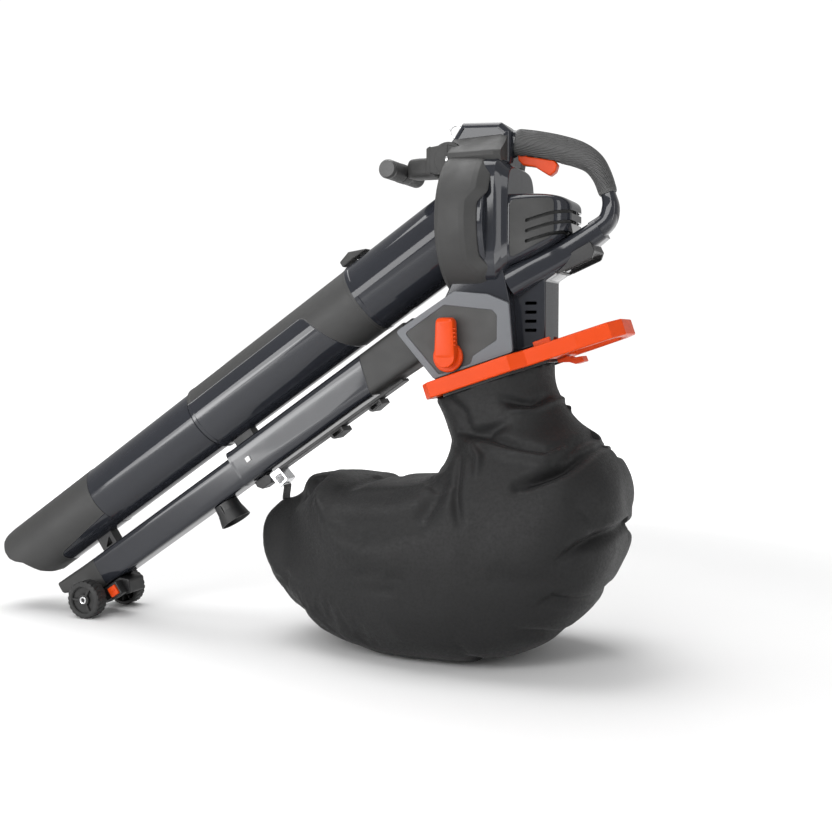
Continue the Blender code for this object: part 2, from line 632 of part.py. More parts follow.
def keep_largest(obj):
    """Drop slivers that a cut has left beside the main body."""
    bm = bmesh.new()
    bm.from_mesh(obj.data)
    seen = set()
    groups = []
    for vert in bm.verts:
        if vert in seen:
            continue
        stack = [vert]
        group = set()
        while stack:
            here = stack.pop()
            if here in group:
                continue
            group.add(here)
            stack.extend(edge.other_vert(here) for edge in here.link_edges)
        seen |= group
        groups.append(group)
    groups.sort(key=len, reverse=True)
    for group in groups[1:]:
        bmesh.ops.delete(bm, geom=list(group), context="VERTS")
    bm.to_mesh(obj.data)
    bm.free()
    return obj


# ---------------------------------------------------------------- motor and fan

def motor_cover():
    """Deep cap behind the fan case, with three cooling slots on each side."""
    stations = [(0.3925, 0.0700, 0.6175, 0.7080), (0.4200, 0.0690, 0.6295, 0.7065), (0.4480, 0.0640, 0.6415,
        0.7035),
                (0.4700, 0.0520, 0.6525, 0.6985), (0.4820, 0.0370, 0.6610, 0.6930), (0.4870, 0.0220, 0.6680,
                    0.6870)]
    wall = 0.0025
    outer = [oval(x, w, b, t, 4.0, 32) for x, w, b, t in stations]
    inner = [oval(x - wall * (x > 0.4), w - wall, b + wall, t - wall, 4.0, 32) for x, w, b, t in stations]
    cover = part("motor_cover", loft(outer[::-1] + inner), MATTE)
    for index in range(3):
        drop = 0.0125 * index
        slot = [(0.4330 - drop * 0.1, 0.6640 - drop), (0.4620, 0.6775 - drop), (0.5100, 0.6890 - drop),
                (0.5100, 0.6855 - drop), (0.4630, 0.6740 - drop), (0.4330 - drop * 0.1, 0.6605 - drop)]
        for low, high in ((-0.09, -0.0025), (0.0025, 0.09)):
            boolean(cover, cutter("cooling_slot", plate([slot], low, high)))
    keep_largest(baked(cover))


def motor():
    line = at(z=SHAFT_Z)
    part("motor_mount", moved(sleeve(0.0087, 0.0396, 0.3695, 0.3745, "X", 32), line), STEEL)
    can = [(0.3748, 0.0245), (0.3748, 0.0262), (0.4380, 0.0262), (0.4380, 0.0045), (0.4365, 0.0045), (0.4365,
        0.0245)]
    part("motor_can", moved(turned(can, steps=32), line), STEEL)
    part("stator_winding", moved(sleeve(0.0138, 0.0240, 0.3790, 0.4285), line), COPPER)
    part("rotor_core", moved(sleeve(0.0043, 0.0132, 0.3810, 0.4265), line), STEEL)
    part("motor_shaft", moved(rod(0.0040, 0.3160, 0.4360, "X", 32), line), STEEL)
    part("front_bearing", moved(sleeve(0.0041, 0.0084, 0.3697, 0.3743, "X", 32), line), STEEL)
    part("rear_bearing", moved(sleeve(0.0041, 0.0080, 0.4300, 0.4360, "X", 32), line), STEEL)
    part("impeller_nut", moved(turned([(0.3185, 0.0048), (0.3185, 0.0085), (0.3245, 0.0085), (0.3245,
        0.0048)], steps=6),
                               line), STEEL)


def impeller():
    bore = 0.0043
    hub = [(0.3250, bore), (0.3250, 0.0110), (0.3420, 0.0150), (0.3600, 0.0280), (0.3620, 0.0860), (0.3645,
        0.0860),
           (0.3645, bore)]
    wheel_part = part("impeller", moved(turned(hub, steps=36), at(z=SHAFT_Z)), BLACK)
    for index in range(8):
        blade = box((0.0300, 0.0022, 0.0720), (0.3480, 0.0, 0.0485))
        sweep_back = at(z=SHAFT_Z) @ Matrix.Rotation(math.radians(45.0 * index), 4,
                                                     "X") @ Matrix.Rotation(0.18, 4, "X")
        boolean(wheel_part, cutter("blade", moved(blade, sweep_back)), "UNION")
    return baked(wheel_part)


def electrics():
    part("controller_board", box((0.030, 0.0016, 0.070), (0.4305, 0.0376, 0.5400)), BOARD)
    outline = [(0.4665, 0.5890), (0.5190, 0.6125), (0.5225, 0.6230), (0.5160, 0.6362), (0.4970, 0.6262),
               (0.4665, 0.6080)]
    dock = part("battery_dock", plate([rounded(outline, 0.001, 1)], -0.034, 0.034), BLACK)
    channel = [(0.4720, 0.5810), (0.5300, 0.6070), (0.5300, 0.6240), (0.4720, 0.5985)]
    boolean(dock, cutter("dock_channel", plate([channel], -0.028, 0.028)))
    baked(dock)


# ---------------------------------------------------------------- handles and trigger

def rear_grip():
    outer = [(t + 0.0030, w + 0.0030) for t, w in HANDLE_SIZES]
    inner = [(t + GAP, w + GAP) for t, w in HANDLE_SIZES]
    shell = sweep(HANDLE_PATH, outer)[1:8] + sweep(HANDLE_PATH, inner)[1:8][::-1]
    grip = part("handle_grip", loft(shell, caps=False), RUBBER)
    slot = [(0.390, 0.730), (0.390, 0.7850), (0.4625, 0.7750), (0.4625, 0.725)]
    boolean(grip, cutter("grip_slot", plate([slot], -0.0092, 0.0092)))
    return keep_largest(baked(grip))


def trigger():
    outline = [(0.3975, 0.7640), (0.3968, 0.7800), (0.4020, 0.7835), (0.4075, 0.7800), (0.4110, 0.7690),
               (0.4300, 0.7655), (0.4540, 0.7605), (0.4590, 0.7540), (0.4555, 0.7435), (0.4470, 0.7375),
               (0.4360, 0.7445), (0.4240, 0.7525), (0.4050, 0.7560)]
    lever = part("trigger", plate([rounded(outline, 0.003, 2)], -0.0078, 0.0078), ORANGE)
    boolean(lever, cutter("trigger_bore", moved(rod(0.00185, -0.02, 0.02, "Y", 16), at(TRIGGER_X, 0,
        TRIGGER_Z))))
    baked(lever)
    part("trigger_pin", moved(rod(0.0017, -0.0115, 0.0115, "Y", 16), at(TRIGGER_X, 0, TRIGGER_Z)), STEEL)
    part("trigger_spring", moved(sleeve(0.0022, 0.0034, 0.7685, 0.7930, "Z", 12), at(0.4240)), STEEL)
    part("trigger_switch", box((0.020, 0.012, 0.0090), (0.4440, 0.0, 0.7785)), BLACK)


def front_handle():
    """Fork on the head's two sides, a stem and a cross bar with two grips."""
    arm = part("front_handle", box((0.040, 0.052, 0.030), (0.242, 0.0, 0.7590), 0.005), SLATE)
    boolean(arm, cutter("neck", box((0.030, 0.022, 0.020), (0.216, 0.0, 0.7560), 0.003)), "UNION")
    yoke = [(0.262, 0.748), (0.2705, 0.7440), (0.2690, 0.7880), (0.262, 0.784)]
    boolean(arm, cutter("yoke", plate([yoke], -0.045, 0.045)), "UNION")
    for side in (-1, 1):
        low, high = sorted((side * 0.0346, side * 0.0450))
        boolean(arm, cutter("cheek", moved(rod(0.0260, low, high, "Y", 32), at(PIVOT_X, 0, PIVOT_Z))),
                "UNION")
        link = [(0.263, 0.746), (0.297, 0.742), (0.297, 0.790), (0.263, 0.786)]
        boolean(arm, cutter("link", plate([link], low + 0.0002, high - 0.0002)), "UNION")
    boolean(arm, cutter("bar", moved(rod(0.0080, -0.058, 0.058, "Y", 20), at(0.205, 0, 0.7540))), "UNION")
    boolean(arm, cutter("boss", moved(rod(0.0150, -0.012, 0.012, "Y", 24), at(0.206, 0, 0.7545))), "UNION")
    baked(arm)
    boolean(arm, cutter("arm_bore", moved(rod(0.00425, -0.05, 0.05, "Y", 24), at(PIVOT_X, 0, PIVOT_Z))))
    baked(arm)
    for name, side in (("front_grip_left", -1), ("front_grip_right", 1)):
        profile = [(0.0125, 0.0083), (0.0125, 0.0145), (0.0610, 0.0150), (0.0650, 0.0125), (0.0650, 0.0),
                   (0.0585, 0.0),
                   (0.0585, 0.0083)]
        mesh = turned([(side * along, radius) for along, radius in profile], "Y", 24)
        part(name, moved(mesh, at(0.205, 0, 0.7540)), RUBBER)
    part("front_handle_pin", moved(rod(0.0040, -0.0462, 0.0462, "Y", 24), at(PIVOT_X, 0, PIVOT_Z)), STEEL)


def strap_ring():
    slope = math.atan2(0.024, 0.016)
    eye = part("strap_eye", box((0.0070, 0.0080, 0.0070)), STEEL, ORIGIN, (0.3026, 0.0, 0.8090))
    eye.rotation_euler = (0.0, -slope, 0.0)
    hole = cutter("eye_hole", rod(0.0023, -0.01, 0.01, "X", 12), ORIGIN, (0.3026, 0.0, 0.8090))
    hole.rotation_euler = (0.0, -slope, 0.0)
    boolean(eye, hole)
    baked(eye)
    profile = [(0.0014 * math.cos(math.radians(45 * k)), 0.0095 + 0.0014 * math.sin(math.radians(45 * k)))
               for k in range(8)]
    centre = (0.3026 - 0.0095 * math.sin(slope), 0.0, 0.8090 + 0.0095 * math.cos(slope))
    part("strap_ring", turned(profile, "Y", 28), STEEL, ORIGIN, centre)


# ---------------------------------------------------------------- lower housing trim and diverter

PANEL_OUTLINE = [(0.2235, 0.5040), (0.3190, 0.5650), (0.3710, 0.5600), (0.4045, 0.5465),
                 (0.4110, 0.4735), (0.2865, 0.4316)]
INSET = [(0.2395, 0.5015), (0.3030, 0.5440), (0.3790, 0.5360), (0.3860, 0.5280), (0.3860, 0.4915), (0.3490,
    0.4680),
         (0.3450, 0.4560), (0.2950, 0.4390)]


def side_panels():
    """One trim panel on each side, with a sunk middle that the mode knob sits in."""
    for name, side in (("side_panel_left", -1), ("side_panel_right", 1)):
        low, high = sorted((side * (DUCT_HALF_W + GAP), side * PANEL_OUT))
        panel = part(name, plate([rounded(PANEL_OUTLINE, 0.004, 2)], low, high), PANEL)
        low, high = sorted((side * (PANEL_OUT - 0.0012), side * (PANEL_OUT + 0.01)))
        boolean(panel, cutter("panel_recess", plate([rounded(INSET, 0.005, 2)], low, high)))
        bore = moved(rod(0.0065, -0.09, 0.09, "Y", 20), at(KNOB_X, 0, KNOB_Z))
        boolean(panel, cutter("panel_bore", bore))
        baked(panel)


def diverter():
    knob_low, knob_high = -0.0985, -PANEL_OUT - GAP
    lever = [(KNOB_X - 0.0175, KNOB_Z - 0.004), (KNOB_X + 0.0175, KNOB_Z - 0.004), (KNOB_X + 0.0140,
        KNOB_Z + 0.0590),
             (KNOB_X - 0.0150, KNOB_Z + 0.0590)]
    base = [(-0.0835, 0.0), (-0.0835, 0.0215), (-0.0815, 0.0232), (knob_high, 0.0232), (knob_high, 0.0)]
    knob = part("mode_knob", moved(turned(base, "Y", 32), at(KNOB_X, 0, KNOB_Z)), ORANGE)
    boolean(knob, cutter("lever", plate([rounded(lever, 0.009, 3)], knob_low, knob_high - 0.001)), "UNION")
    boolean(knob, cutter("core", moved(rod(0.0160, knob_low, knob_high - 0.002, "Y", 28), at(KNOB_X, 0,
        KNOB_Z))), "UNION")
    boolean(knob, cutter("socket", moved(rod(0.0053, -0.088, -0.060, "Y", 20), at(KNOB_X, 0, KNOB_Z))))
    baked(knob)
    part("diverter_shaft", moved(rod(0.0050, -0.0875, 0.0685, "Y", 24), at(KNOB_X, 0, KNOB_Z)), STEEL)
    flap = part("diverter_flap", moved(sleeve(0.0053, 0.0085, -0.0620, 0.0620, "Y", 24), at(KNOB_X, 0,
        KNOB_Z)), BLACK)
    vane = box((0.0450, 0.1240, 0.0024), (0.0295, 0.0, 0.0))
    turn = at(KNOB_X, 0, KNOB_Z) @ Matrix.Rotation(-math.radians(158.0), 4, "Y")
    boolean(flap, cutter("vane", moved(vane, turn)), "UNION")
    baked(flap)


# ---------------------------------------------------------------- bag, its frame and its rail

def flat(mesh):
    """Turn an XZ plate into the frame plane, its thickness along the plane's normal."""
    return moved(mesh, Matrix.Rotation(-math.pi / 2.0, 4, "X"))


def mirrored(points):
    return points + [(x, -y) for x, y in reversed(points)]


def bag_frame():
    outer = mirrored([(-0.022, -0.070), (-0.008, -0.088), (0.125, -0.088), (0.147, -0.071), (0.225, -0.066),
                      (0.276, -0.058), (0.293, -0.036)])
    neck = mirrored([(0.004, -0.068), (0.010, -0.078), (0.119, -0.078), (0.139, -0.062), (0.176, -0.060)])
    loop = mirrored([(0.194, -0.050), (0.222, -0.053), (0.266, -0.047), (0.278, -0.031)])
    outlines = [rounded(outer, 0.006, 2), rounded(neck, 0.004, 2), rounded(loop, 0.008, 2)]
    part("bag_frame", flat(plate(outlines, GAP, FRAME_T)), ORANGE, FRAME)
    ring_out = mirrored([(0.0048, -0.0675), (0.0105, -0.0773), (0.1187, -0.0773), (0.1385, -0.0613), (0.1753,
        -0.0593)])
    ring_in = mirrored([(0.0090, -0.0650), (0.0130, -0.0735), (0.1165, -0.0735), (0.1365, -0.0575), (0.1705,
        -0.0555)])
    outlines = [rounded(ring_out, 0.004, 2), rounded(ring_in, 0.004, 2)]
    part("bag_neck_ring", flat(plate(outlines, 0.0015, FRAME_T + 0.004)), BLACK, FRAME)


def bag_latch():
    outline = [(0.1780, -0.0262), (0.1950, -0.0262), (0.2000, -0.0300), (0.2240, -0.0330), (0.2230, -0.0400),
               (0.1960, -0.0370), (0.1780, -0.0310)]
    part("bag_latch", plate([rounded(outline, 0.001, 1)], -0.016, 0.016), ORANGE, FRAME)


def ring_between(left, right, half_w, power=2.6, sides=28):
    """Superellipse across Y whose ends are two XZ points."""
    low = Vector((left[0], 0.0, left[1]))
    high = Vector((right[0], 0.0, right[1]))
    middle = 0.5 * (low + high)
    reach = 0.5 * (high - low)
    loop = []
    for index in range(sides):
        angle = 2.0 * math.pi * index / sides
        c, s = math.cos(angle), math.sin(angle)
        along = math.copysign(abs(c) ** (2.0 / power), c)
        across = math.copysign(abs(s) ** (2.0 / power), s)
        loop.append(middle + reach * along + Vector((0.0, half_w * across, 0.0)))
    return loop


def bag():
    """Sagging sack, open at its neck; each entry is (front point, rear point, half width)."""
    under = FRAME_T / math.cos(FRAME_SLOPE) + 0.0052
    slices = [((0.268, base_z(0.268) - under), (0.452, base_z(0.452) - under), 0.0780),
              ((0.283, 0.366), (0.456, 0.418), 0.0760), ((0.293, 0.335), (0.487, 0.372), 0.0880),
              ((0.290, 0.300), (0.535, 0.335), 0.1200), ((0.250, 0.273), (0.566, 0.290), 0.1450),
              ((0.045, 0.268), (0.571, 0.270), 0.1560), ((0.006, 0.245), (0.573, 0.250), 0.1640),
              ((0.002, 0.225), (0.572, 0.232), 0.1690), ((-0.020, 0.215), (0.566, 0.218), 0.1720),
              ((-0.030, 0.190), (0.560, 0.195), 0.1750), ((-0.020, 0.140), (0.552, 0.150), 0.1760),
              ((0.012, 0.085), (0.528, 0.100), 0.1680), ((0.060, 0.038), (0.480, 0.050), 0.1520),
              ((0.105, 0.012), (0.425, 0.016), 0.1300), ((0.145, 0.0), (0.385, 0.0), 0.1080)]
    cloth = 0.0030
    outer = [ring_between(left, right, half_w) for left, right, half_w in slices]
    inner = []
    for index, (left, right, half_w) in enumerate(slices):
        lift = 0.0 if index == 0 else (cloth if index > 10 else -cloth)
        inner.append(ring_between((left[0] + cloth, left[1] + lift), (right[0] - cloth, right[1] + lift),
                                  half_w - cloth))
    part("collection_bag", loft(outer[::-1] + inner), FABRIC)


def bag_rail():
    outline = [(-0.345, -0.1384), (-0.318, -0.1384), (-0.316, -0.1420), (-0.020, -0.1418), (-0.020, -0.1470),
               (-0.312, -0.1475), (-0.318, -0.1560), (-0.338, -0.1560), (-0.345, -0.1480)]
    part("bag_rail", plate([outline], -0.0125, 0.0125), BLACK, TUBE)
    for name, station in (("rail_clip_front", -0.165), ("rail_clip_rear", -0.083)):
        start, end = station - 0.013, station + 0.013
        hook = [(start, -0.1480), (end, -0.1480), (end, -0.1570), (start + 0.004, -0.1590), (start, -0.1555)]
        clip_part = part(name, plate([hook], -0.0165, 0.0165), PANEL, TUBE)
        window = [(start + 0.004, -0.1505), (end - 0.004, -0.1505), (end - 0.004, -0.1550), (start + 0.005,
            -0.1560)]
        boolean(clip_part, cutter("clip_window", plate([window], -0.02, 0.02), TUBE))
        baked(clip_part)
    saddle = [(-0.3120, -0.1430), (-0.2900, -0.1430), (-0.2860, -0.1680), (-0.3080, -0.1720)]
    hook = part("bag_hook", plate([rounded(saddle, 0.003, 2)], -0.0150, 0.0150), STEEL, TUBE)
    bar = [(-0.3300, -0.1300), (-0.2700, -0.1300), (-0.2700, -0.1478), (-0.3122, -0.1478), (-0.3176, -0.1563)]
    boolean(hook, cutter("hook_saddle", plate([bar], -0.0128, 0.0128), TUBE))
    window = [(-0.3055, -0.1520), (-0.2920, -0.1520), (-0.2900, -0.1645), (-0.3040, -0.1675)]
    boolean(hook, cutter("hook_window", plate([window], -0.02, 0.02), TUBE))
    keep_largest(baked(hook))
    part("bag_strap", box((0.0030, 0.0250, 0.0215), (-0.0060, 0.0, 0.23625), 0.0006), FABRIC)


def socket():
    profile = [(-0.1382, 0.0), (-0.1382, 0.0215), (-0.1520, 0.0225), (-0.1735, 0.0275), (-0.1740, 0.0255),
               (-0.1530, 0.0203), (-0.1415, 0.0195), (-0.1415, 0.0)]
    part("accessory_socket", turned(profile, "Z", 28), BLACK, TUBE, (-0.420, 0.0, 0.0015))


def hang(names, guide_name, location):
    """Hang moving pieces from one guide on their joint's axis, leaving them where they are."""
    guide = empty(guide_name, location, bpy.data.objects[names[0]].parent)
    for name in names:
        piece = bpy.data.objects[name]
        piece.parent = guide
        piece.location = piece.location - Vector(location)


def joint_guides():
    hang(["rotor_core", "motor_shaft", "impeller", "impeller_nut"], "rotor_axis", (0.380, 0.0, SHAFT_Z))
    hang(["trigger"], "trigger_axis", (TRIGGER_X, 0.0, TRIGGER_Z))
    hang(["mode_knob", "diverter_shaft", "diverter_flap"], "selector_axis", (KNOB_X, 0.0, KNOB_Z))
    hang(["front_handle", "front_grip_left", "front_grip_right"], "front_handle_axis", (PIVOT_X, 0.0,
        PIVOT_Z))
    hang(["strap_ring"], "strap_ring_axis", (0.3026, 0.0, 0.8090))
    hang(["bag_latch"], "latch_axis", (0.1795, 0.0, -0.0285))
    hang(["tube_lock_button"], "tube_lock_line", (0.020, 0.0, INLET_R))
    hang(["blow_snap_button"], "snap_line", (SNAP_STATION, -BLOW_UP_HALF_W, SNAP_HEIGHT))
    hang(["wheel_release_button"], "wheel_release_line", (-0.682, -0.0390, -0.1545))
    hang(["bag_frame", "bag_neck_ring"], "bag_slide_line", (0.0, 0.0, -0.5 * FRAME_T))


suction_tubes()
blow_tubes()
tube_clips()
tube_buttons()
wheel_bracket()
wheels()
housing_half("housing_left", -1)
housing_half("housing_right", 1)
bumpers()
motor_cover()
motor()
impeller()
electrics()
rear_grip()
trigger()
front_handle()
strap_ring()
side_panels()
diverter()
bag_frame()
bag_latch()
bag()
bag_rail()
socket()
joint_guides()
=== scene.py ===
"""Looks of a battery leaf blower and garden vacuum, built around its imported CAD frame."""

import math

import bmesh
import bpy
import numpy as np
from mathutils import Matrix, Vector, noise


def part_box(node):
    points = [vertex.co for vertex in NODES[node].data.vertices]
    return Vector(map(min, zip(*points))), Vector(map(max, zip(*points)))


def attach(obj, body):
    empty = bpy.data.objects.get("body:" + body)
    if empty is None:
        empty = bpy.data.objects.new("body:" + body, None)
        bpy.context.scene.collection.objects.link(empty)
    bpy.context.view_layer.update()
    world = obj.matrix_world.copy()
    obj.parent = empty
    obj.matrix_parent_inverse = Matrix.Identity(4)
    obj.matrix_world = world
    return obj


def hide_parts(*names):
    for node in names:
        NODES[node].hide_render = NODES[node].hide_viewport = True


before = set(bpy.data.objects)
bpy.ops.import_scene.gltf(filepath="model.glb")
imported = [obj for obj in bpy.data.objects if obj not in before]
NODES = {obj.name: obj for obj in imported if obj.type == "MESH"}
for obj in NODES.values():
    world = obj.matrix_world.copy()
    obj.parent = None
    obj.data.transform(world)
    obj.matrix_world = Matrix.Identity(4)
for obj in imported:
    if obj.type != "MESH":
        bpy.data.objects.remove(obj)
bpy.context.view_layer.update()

# ---------------------------------------------------------------- driving sizes, as in the CAD (metres)

AXLE_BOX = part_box("wheel_axle")
SHIFT_X = 0.5 * (AXLE_BOX[0][0] + AXLE_BOX[1][0]) + 0.375
TILT = math.radians(34.2)
SLOPE = math.radians(18.6)
WORLD = Matrix.Translation((SHIFT_X, 0.0, 0.0))
TUBE_IN_BODY = Matrix.Translation((0.146, 0.0, 0.5585)) @ Matrix.Rotation(-TILT, 4, "Y")
TUBE = WORLD @ TUBE_IN_BODY
BAND = WORLD @ Matrix.Translation((0.286, 0.0, 0.43)) @ Matrix.Rotation(-SLOPE, 4, "Y")
FLAT = Matrix.Rotation(-math.pi / 2.0, 4, "X")
AXLE = WORLD @ Matrix.Translation((-0.375, 0.0, 0.033))
SEAM = 0.00015
SUCTION_R = 0.056
COLLAR_R = 0.0588
INLET_R = 0.06
SHAFT_Z = 0.668
DRUM_R = 0.104
BUMPER_R = 0.1175
DUCT_HALF_W = 0.069
PANEL_OUT = 0.0755
BAND_T = 0.025
KNOB = (0.311, 0.466)
PIVOT = Matrix.Translation((0.297, 0.0, 0.766))
SIDES = (("left", -1), ("right", 1))
TUBE_POWER = 6.0


def base_z(x):
    """Height of the housing's sloping underside."""
    return 0.43 + (x - 0.286) * math.tan(SLOPE)


# ---------------------------------------------------------------- mesh helpers

def placed(name, data):
    """A new object in the scene."""
    obj = bpy.data.objects.new(name, data)
    bpy.context.scene.collection.objects.link(obj)
    return obj


def evaluated(obj):
    """The object's shape with its modifiers, as a new mesh."""
    bpy.context.view_layer.update()
    return bpy.data.meshes.new_from_object(obj.evaluated_get(bpy.context.evaluated_depsgraph_get()))


def vectors(items, key):
    flat = np.empty(len(items) * 3)
    items.foreach_get(key, flat)
    return flat.reshape(-1, 3)


def finished(bm, name="mesh", sharp=38.0):
    bmesh.ops.remove_doubles(bm, verts=bm.verts[:], dist=0.000002)
    bmesh.ops.recalc_face_normals(bm, faces=bm.faces[:])
    mesh = bpy.data.meshes.new(name)
    bm.to_mesh(mesh)
    bm.free()
    mesh.shade_smooth()
    mesh.set_sharp_from_angle(angle=math.radians(sharp))
    return mesh


def moved(mesh, matrix):
    mesh.transform(matrix)
    return mesh


def at(x=0.0, y=0.0, z=0.0):
    return Matrix.Translation((x, y, z))


def joined(*meshes):
    """One mesh from several; an entry may be (mesh, material index)."""
    bm = bmesh.new()
    for entry in meshes:
        mesh, index = entry if isinstance(entry, tuple) else (entry, 0)
        for polygon in mesh.polygons:
            polygon.material_index = index
        bm.from_mesh(mesh)
    out = bpy.data.meshes.new("joined")
    bm.to_mesh(out)
    bm.free()
    return out


def loft(loops, caps=True, sharp=38.0):
    """Skin equal loops; without caps the last loop joins the first."""
    bm = bmesh.new()
    rings = [[bm.verts.new(point) for point in loop] for loop in loops]
    pairs = list(zip(rings, rings[1:]))
    if not caps:
        pairs.append((rings[-1], rings[0]))
    for first, second in pairs:
        for index in range(len(first)):
            after = (index + 1) % len(first)
            bm.faces.new((first[index], first[after], second[after], second[index]))
    if caps:
        bm.faces.new(rings[0])
        bm.faces.new(rings[-1])
    return finished(bm, "loft", sharp)


def smooth_rows(rows, steps):
    """Catmull-Rom through rows of numbers, with the given steps between neighbours."""
    data = np.array(rows, float)
    out = []
    for index in range(len(data) - 1):
        p0 = data[max(index - 1, 0)]
        p1, p2 = data[index], data[index + 1]
        p3 = data[min(index + 2, len(data) - 1)]
        for step in range(steps):
            t = step / steps
            out.append(0.5 * (2 * p1 + (p2 - p0) * t + (2 * p0 - 5 * p1 + 4 * p2 - p3) * t * t
                       + (3 * p1 - p0 - 3 * p2 + p3) * t ** 3))
    out.append(data[-1])
    return [tuple(row) for row in out]


def unit_loop(power, sides):
    """Points of a unit superellipse."""
    loop = []
    for index in range(sides):
        angle = 2.0 * math.pi * index / sides
        c, s = math.cos(angle), math.sin(angle)
        loop.append((math.copysign(abs(c) ** (2.0 / power), c), math.copysign(abs(s) ** (2.0 / power), s)))
    return loop


def oval(x, half_w, bottom, top, power=2.0, sides=72):
    middle, half_h = 0.5 * (bottom + top), 0.5 * (top - bottom)
    return [Vector((x, half_w * c, middle + half_h * s)) for c, s in unit_loop(power, sides)]


def sweep(path, sizes, power=2.5, sides=48):
    """Loops across a path in the XZ plane; sizes are (half thickness, half width)."""
    points = [Vector((x, 0.0, z)) for x, z in path]
    loops = []
    for index, here in enumerate(points):
        along = (points[min(index + 1, len(points) - 1)] - points[max(index - 1, 0)]).normalized()
        side = Vector((-along.z, 0.0, along.x))
        half_t, half_w = sizes[index]
        loops.append([here + side * (half_t * s) + Vector((0.0, half_w * c, 0.0))
                     for c, s in unit_loop(power, sides)])
    return loops


def rounded(points, radius, steps=5):
    """Replace each corner of an outline by an arc of about the given radius."""
    outline = []
    count = len(points)
    for index in range(count):
        here = Vector(points[index])
        back = Vector(points[index - 1]) - here
        ahead = Vector(points[(index + 1) % count]) - here
        turn = back.angle(ahead)
        reach = min(radius / math.tan(turn / 2.0), 0.45 * back.length, 0.45 * ahead.length)
        start = here + back.normalized() * reach
        end = here + ahead.normalized() * reach
        for step in range(steps + 1):
            t = step / steps
            outline.append((1 - t) ** 2 * start + 2 * t * (1 - t) * here + t * t * end)
    return [(point.x, point.y) for point in outline]


def turned(profile, axis="X", steps=96, fillet=0.0, sharp=38.0):
    """Turn a closed (distance along, radius) profile; points on the axis close it."""
    if fillet:
        profile = rounded(profile, fillet, 4)
    bm = bmesh.new()
    rings = []
    for along, radius in profile:
        if radius < 1e-6:
            rings.append([bm.verts.new((along, 0.0, 0.0))])
            continue
        rings.append([bm.verts.new((along, radius * math.cos(2 * math.pi * k / steps),
                     radius * math.sin(2 * math.pi * k / steps))) for k in range(steps)])
    for first, second in zip(rings, rings[1:] + rings[:1]):
        if len(first) == 1 and len(second) == 1:
            continue
        for k in range(steps):
            corners = [first[k % len(first)], first[(k + 1) % len(first)], second[(k + 1) % len(second)],
                       second[k % len(second)]]
            bm.faces.new(list(dict.fromkeys(corners)))
    turn = {"X": Matrix.Identity(4), "Y": Matrix.Rotation(math.pi / 2.0, 4, "Z"),
            "Z": Matrix.Rotation(-math.pi / 2.0, 4, "Y")}[axis]
    bmesh.ops.transform(bm, matrix=turn, verts=bm.verts[:])
    return finished(bm, "turned", sharp)


def turned_on(side, profile, steps, fillet=0.0):
    """A (distance out, radius) profile turned about Y, on the left or the right of the object."""
    return turned([(side * y, radius) for y, radius in profile], "Y", steps, fillet)


def rod(radius, start, end, axis="X", steps=64, fillet=0.0):
    return turned([(start, 0.0), (start, radius), (end, radius), (end, 0.0)], axis, steps, fillet)


def plate(outlines, y_low, y_high, edge=0.0, rounds=3):
    """Flat moulding from XZ outlines (a second outline is a hole) with rounded rims."""
    curve = bpy.data.curves.new("outline", "CURVE")
    curve.dimensions = "2D"
    curve.fill_mode = "BOTH"
    curve.extrude = 0.5 * (y_high - y_low) - edge
    curve.bevel_depth = edge
    curve.bevel_resolution = rounds
    curve.offset = -edge
    for points in outlines:
        spline = curve.splines.new("POLY")
        spline.points.add(len(points) - 1)
        for target, (x, z) in zip(spline.points, points):
            target.co = (x, z, 0.0, 1.0)
        spline.use_cyclic_u = True
    obj = placed("outline", curve)
    mesh = evaluated(obj)
    bpy.data.objects.remove(obj, do_unlink=True)
    mesh.transform(at(y=0.5 * (y_low + y_high)) @ Matrix.Rotation(math.pi / 2.0, 4, "X"))
    bm = bmesh.new()
    bm.from_mesh(mesh)
    return finished(bm, "plate")


def block(size, centre=(0.0, 0.0, 0.0), bevel=0.0008, segments=3):
    bm = bmesh.new()
    bmesh.ops.create_cube(bm, size=1.0, matrix=Matrix.Translation(centre) @ Matrix.Diagonal((*size, 1.0)))
    bmesh.ops.bevel(bm, geom=bm.edges[:], offset=bevel, segments=segments, affect="EDGES", profile=0.5)
    return finished(bm, "block")


def cut(mesh, tools, solver="EXACT"):
    """A mesh less its tool meshes, as a new mesh."""
    base = placed("base", mesh)
    helpers = []
    for tool in tools:
        helper = placed("tool", tool)
        helpers.append(helper)
        mod = base.modifiers.new("cut", "BOOLEAN")
        mod.operation = "DIFFERENCE"
        mod.solver = solver
        mod.object = helper
    out = evaluated(base)
    for helper in helpers + [base]:
        bpy.data.objects.remove(helper, do_unlink=True)
    out.materials.clear()
    out.shade_smooth()
    out.set_sharp_from_angle(angle=math.radians(32.0))
    return out


def softened(mesh, width, segments=2, angle=28.0):
    """Round off a mesh's hard edges."""
    bm = bmesh.new()
    bm.from_mesh(mesh)
    edges = [e for e in bm.edges if len(e.link_faces) == 2 and e.calc_face_angle() > math.radians(angle)]
    bmesh.ops.bevel(bm, geom=edges, offset=width, segments=segments, affect="EDGES", profile=0.5,
                    clamp_overlap=True)
    return finished(bm, "soft")


def half_of(mesh, side):
    """What lies on one side of the parting plane."""
    bm = bmesh.new()
    bm.from_mesh(mesh)
    geom = bm.verts[:] + bm.edges[:] + bm.faces[:]
    bmesh.ops.bisect_plane(bm, geom=geom, plane_co=(0.0, side * SEAM, 0.0), plane_no=(0.0, -side, 0.0),
            clear_outer=True)
    out = bpy.data.meshes.new("half")
    bm.to_mesh(out)
    bm.free()
    return out


